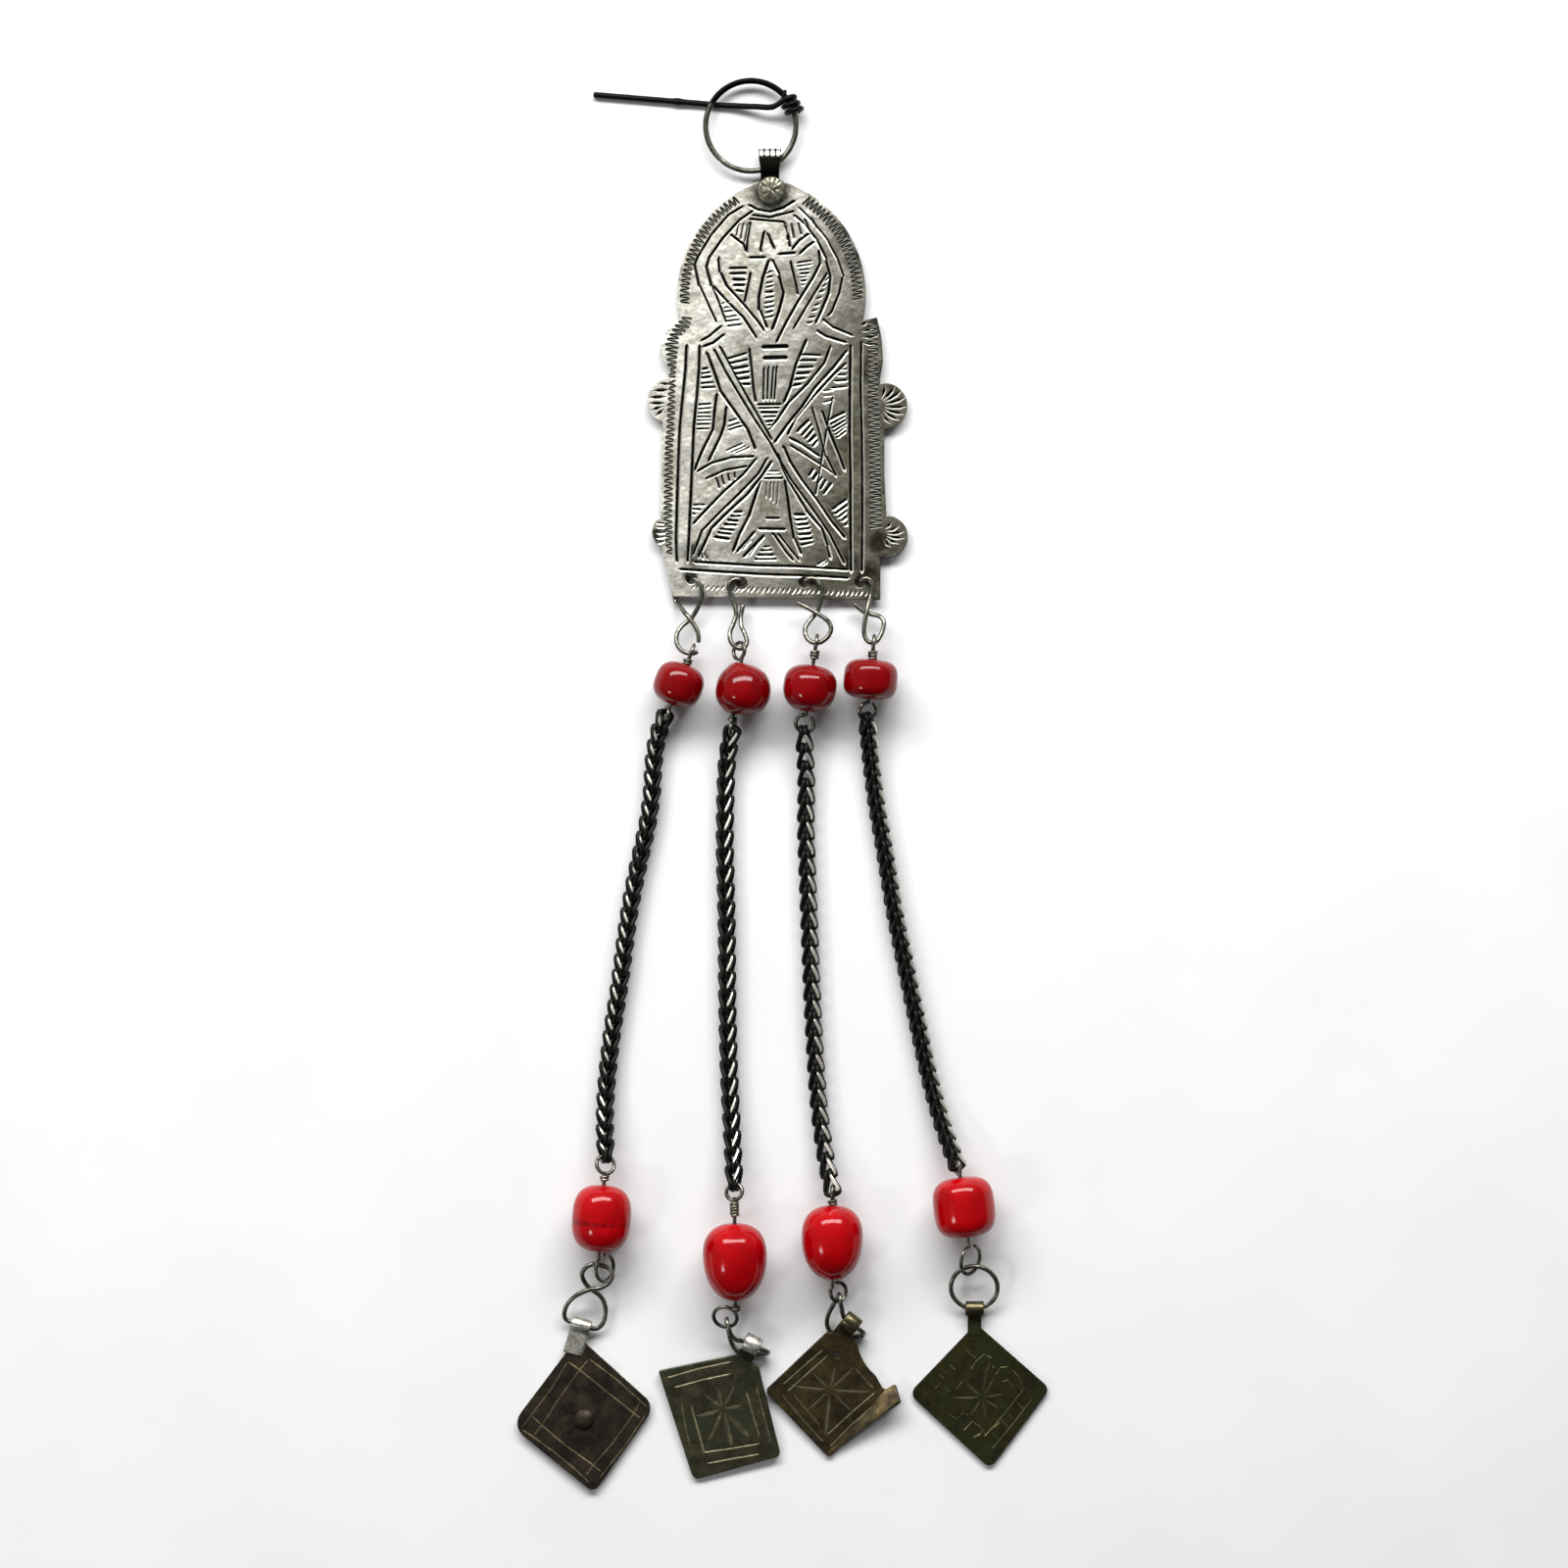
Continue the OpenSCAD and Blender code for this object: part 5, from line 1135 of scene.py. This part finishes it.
pendants = {
    # ribbon: where its roll is, its heading and its reach; foot and heading: where it stands and leans
    # star: its centre, then each ray's tip and width
    1: {"slot": "cast_bronze", "top": 1.3, "width": 0.32, "slope": 0.25,
        "ribbon": ((-35.9, -96.5), -17, 5.4),
        "lines": [[(-34.54, -102.38), (-29.44, -106.22), (-24.19, -110.98)],
                  [(-38.19, -102.96), (-36.14, -104.42), (-30.89, -108.65), (-25.35, -113.02)],
                  [(-38.33, -102.96), (-41.1, -107.62), (-46.5, -114.77)],
                  [(-34.54, -102.52), (-36.14, -104.42), (-39.94, -109.67), (-42.71, -114.04),
                   (-44.31, -116.08)],
                  [(-44.75, -112.58), (-42.85, -114.33), (-38.77, -117.83), (-34.25, -121.04),
                   (-32.29, -122.56)],
                  [(-46.64, -114.92), (-44.31, -116.43), (-40.81, -119), (-37.02, -122.06), (-34.39, -124.54)],
                  [(-25.29, -109.96), (-26.66, -112.44), (-30.31, -117.54), (-33.81, -121.48),
                   (-34.98, -123.23)],
                  [(-24.42, -112.44), (-27.98, -117.83), (-32.64, -123.72)]]},
    2: {"slot": "sheet_bronze", "top": 0.9, "width": 0.42, "slope": 0.25, "foot": (-15.8, -124), "heading": 64,
        "ribbon": ((-5.4, -99.8), -27, 1.9),
        "lines": [[(-20.54, -105.73), (-14.85, -104.07), (-9.02, -102.81)],
                  [(-19.23, -107.48), (-14.27, -106.11), (-9.16, -105)],
                  [(-18.06, -109.96), (-17.42, -113.75), (-16.54, -117.83)],
                  [(-16.37, -110.54), (-15.14, -114.92), (-13.98, -119.29)],
                  [(-13.98, -119.1), (-9.02, -118.4), (-3.91, -117.5)],
                  [(-13.39, -121.1), (-8.73, -120.2), (-4.06, -119.4)],
                  [(-6.54, -107.92), (-5.23, -112.58), (-4.06, -116.37)],
                  [(-4.7, -107.1), (-3.77, -110.83), (-2.02, -117.25)]],
        "star": ((-10.62, -111.27), [(-14.12, -108.35, 0.65), (-11.64, -107.48, 0.7),
                 (-8.58, -107.19, 0.65), (-7.12, -110.54, 0.95), (-5.96, -116.37, 0.8),
                 (-9.02, -118.12, 0.85), (-13.25, -117.25, 0.8), (-15.29, -112.58, 0.95)])},
    3: {"slot": "sheet_bronze", "top": 0.9, "width": 0.42, "slope": 0.25, "foot": (8.4, -120), "heading": 82,
        "ribbon": ((12.2, -96), -38, 1.9),
        "lines": [[(0.17, -106.9), (3.52, -103.89), (7.31, -100.62)],
                  [(0.9, -108.21), (4.4, -105), (8.19, -101.65)],
                  [(-0.12, -108.65), (3.23, -112.73), (7.31, -117.25)],
                  [(1.83, -108.44), (4.54, -111.71), (6.73, -114.33)],
                  [(8.04, -115.94), (12.27, -112), (16.65, -108.21)],
                  [(8.48, -118.12), (12.27, -114.19), (16.65, -110.31)],
                  [(12.91, -103.89), (16.21, -107.57)]],
        "star": ((8.48, -107.92), [(2.21, -107.27, 0.5), (15.77, -108.27, 0.5), (5.27, -104.71, 0.4),
                 (12.62, -103.98, 0.5), (7.61, -116.37, 0.55), (12.13, -111.56, 0.45),
                 (4.54, -111.56, 0.45), (9.36, -103.98, 0.4)])},
    4: {"slot": "greened_bronze", "top": 0.9, "width": 0.34, "slope": 0.3,
        "ribbon": ((34.3, -93.55), 0, 2.9),
        "lines": [[(37.36, -118.56), (41.15, -114.04), (44.65, -109.38)],
                  [(36.04, -116.37), (39.69, -112.15), (43.19, -107.62)],
                  [(37.3, -115.27), (38.58, -117.02)], [(38.81, -112.87), (40.27, -114.77)],
                  [(39.98, -111.77), (41.44, -113.31)], [(41.73, -109.96), (42.96, -111.42)],
                  [(27.2, -107.9), (28.2, -106.6), (29.9, -108.4)], [(30.9, -108.2), (32.2, -106.2)],
                  [(29.8, -112.3), (31.2, -113.3), (32.3, -112), (33.2, -112.6)],
                  [(34, -116.6), (35.6, -115.7)],
                  [(32.3, -115.3), (33.9, -113.6), (35.3, -114.6), (36.4, -116.2)],
                  [(37.6, -114.8), (39, -113.6)], [(32.6, -100.7), (34.5, -102.4)],
                  [(33.6, -104.4), (34.4, -103), (36, -101.6), (37.4, -102.4)],
                  [(29.6, -103.2), (31, -104.6)], [(27.6, -104.9), (28.9, -106)],
                  [(25, -107.6), (25.6, -108.9)], [(36.4, -104.6), (37, -103), (37.9, -104.2)],
                  [(40.8, -104.2), (42.2, -105.6), (42.8, -107)],
                  [(38, -105.4), (38.9, -104), (40.2, -103.9), (40.6, -105)],
                  [(39.2, -106.6), (40.4, -106.2), (41.2, -107.6)]],
        "star": ((35.61, -109.38), [(30.36, -109.38, 0.55), (32.54, -106.46, 0.5),
                 (39.4, -108.73, 0.5), (38.81, -111.42, 0.5), (36.48, -113.46, 0.45), (33.56, -112.58, 0.5),
                 (37.94, -105.58, 0.5), (36.48, -103.83, 0.4)])},
    "tilt": 2.7, "edge": 0.14,
}


def proppedMatrix(foot, heading):
    turn = Matrix.Rotation(math.radians(heading), 4, "Z")
    slope = Matrix.Rotation(math.radians(-pendants["tilt"]), 4, "Y")
    there = Matrix.Translation((*foot, 0))
    return there @ turn @ slope @ turn.inverted() @ there.inverted()


def makePendant(number, bronze, cuts, ribbon):
    random.seed(20 + number)
    art = pendants[number]
    name = f"pendant_{number}"
    strokes = [(line, art["width"] * random.uniform(0.85, 1.1), art["slope"] * art["width"], 0.5, 0.1)
               for line in art["lines"]]
    centre, tips = art.get("star", ((0, 0), []))
    for x, y, width in tips:
        near = (centre[0] + 0.12 * (x - centre[0]), centre[1] + 0.12 * (y - centre[1]))
        strokes.append(([near, (x, y)], 1.25 * width, 0.17 * width, 1.2, 0.1))
    bm = nodeMesh(name, pendants["edge"])
    place, heading, reach = art["ribbon"]
    turn = math.radians(heading)
    for face in bm.faces:  # the ribbon bail begins this far below its roll
        x, y, _ = face.calc_center_median()
        if -math.sin(turn) * (x - place[0]) + math.cos(turn) * (y - place[1]) > -reach:
            face.material_index = 3
    tilt = proppedMatrix(art["foot"], art["heading"]) if "foot" in art else Matrix()
    materials = (bronze, cuts, cuts, ribbon)
    finishPiece(carve(bm, strokes, art["top"], materials, tilt), name + "_bronze", materials, "ornament",
                art["slot"], name, sharp=35, flatUp=tilt.to_3x3() @ Vector((0, 0, 1)), smoothSlots=(0, 3))


for row in ((1, castBronze, brownCuts, ribbonSilver), (2, sheetBronze, brightCuts, ribbonSilver),
            (3, brownBronze, brightCuts, ribbonOlive), (4, greenBronze, greenCuts, ribbonOlive)):
    makePendant(*row)
print("pendants made")


# Floor, lights and camera

studio = {"width": 280, "centre": (0.315, 0), "lens": 135, "sensor": 36, "floor": 3000,
          "brightSide": (-0.3, 0.95, 0.0), "worldLow": 0.05, "worldHigh": 0.42,
          # each lamp's place and size in metres, and its power in watts
          "lamps": {"key": ((-0.05, 0.62, 0.58), (1.3, 0.26), 17),
                    "fill": ((-0.5, -0.32, 0.5), (0.12, 0.12), 0.8)}}


def makeFloor():
    bm = bmesh.new()
    bmesh.ops.create_grid(bm, x_segments=1, y_segments=1, size=studio["floor"] * mm / 2)
    material, tree, shader, place = newMaterial("white studio paper", 0.0, 0.9)
    grain = addNode(tree, "TexNoise", {"Vector": place, "Scale": perMetre(30), "Detail": 2.0})
    paint(tree, shader, grain, [(0.3, "#dadada"), (0.7, "#dedede")])
    floor = newObject("floor", bm, [material])


def makeLight(name, place, size, watts):
    data = bpy.data.lights.new(name, "AREA")
    data.shape = "RECTANGLE"
    data.size, data.size_y = size
    data.energy = watts
    lamp = bpy.data.objects.new(name, data)
    lamp.location = place
    lamp.rotation_euler = (-Vector(place)).to_track_quat("-Z", "Y").to_euler()
    bpy.context.collection.objects.link(lamp)


def makeCamera():
    data = bpy.data.cameras.new("camera")
    data.lens, data.sensor_width = studio["lens"], studio["sensor"]
    data.clip_start, data.clip_end = 0.01, 10
    camera = bpy.data.objects.new("camera", data)
    height = studio["width"] * mm * studio["lens"] / studio["sensor"]
    camera.location = (studio["centre"][0] * mm, studio["centre"][1] * mm, height)
    bpy.context.collection.objects.link(camera)
    bpy.context.scene.camera = camera


def makeWorld():
    world = bpy.data.worlds.new("studio")
    world.use_nodes = True
    tree = world.node_tree
    heading = addNode(tree, "TexCoord").outputs["Generated"]
    lit = addNode(tree, "VectorMath", {0: heading, 1: studio["brightSide"]}, operation="DOT_PRODUCT")
    glow = addNode(tree, "MapRange", {"Value": lit.outputs["Value"], "From Min": -0.6, "From Max": 0.9,
                                      "To Min": studio["worldLow"], "To Max": studio["worldHigh"]})
    backdrop = tree.nodes["Background"]
    backdrop.inputs["Color"].default_value = (0.97, 0.98, 1.0, 1)
    tree.links.new(glow.outputs["Result"], backdrop.inputs["Strength"])
    bpy.context.scene.world = world


makeFloor()
for name, lamp in studio["lamps"].items():
    makeLight(name, *lamp)
makeCamera()
makeWorld()
bpy.context.scene.view_settings.view_transform = "Standard"
print("studio made")
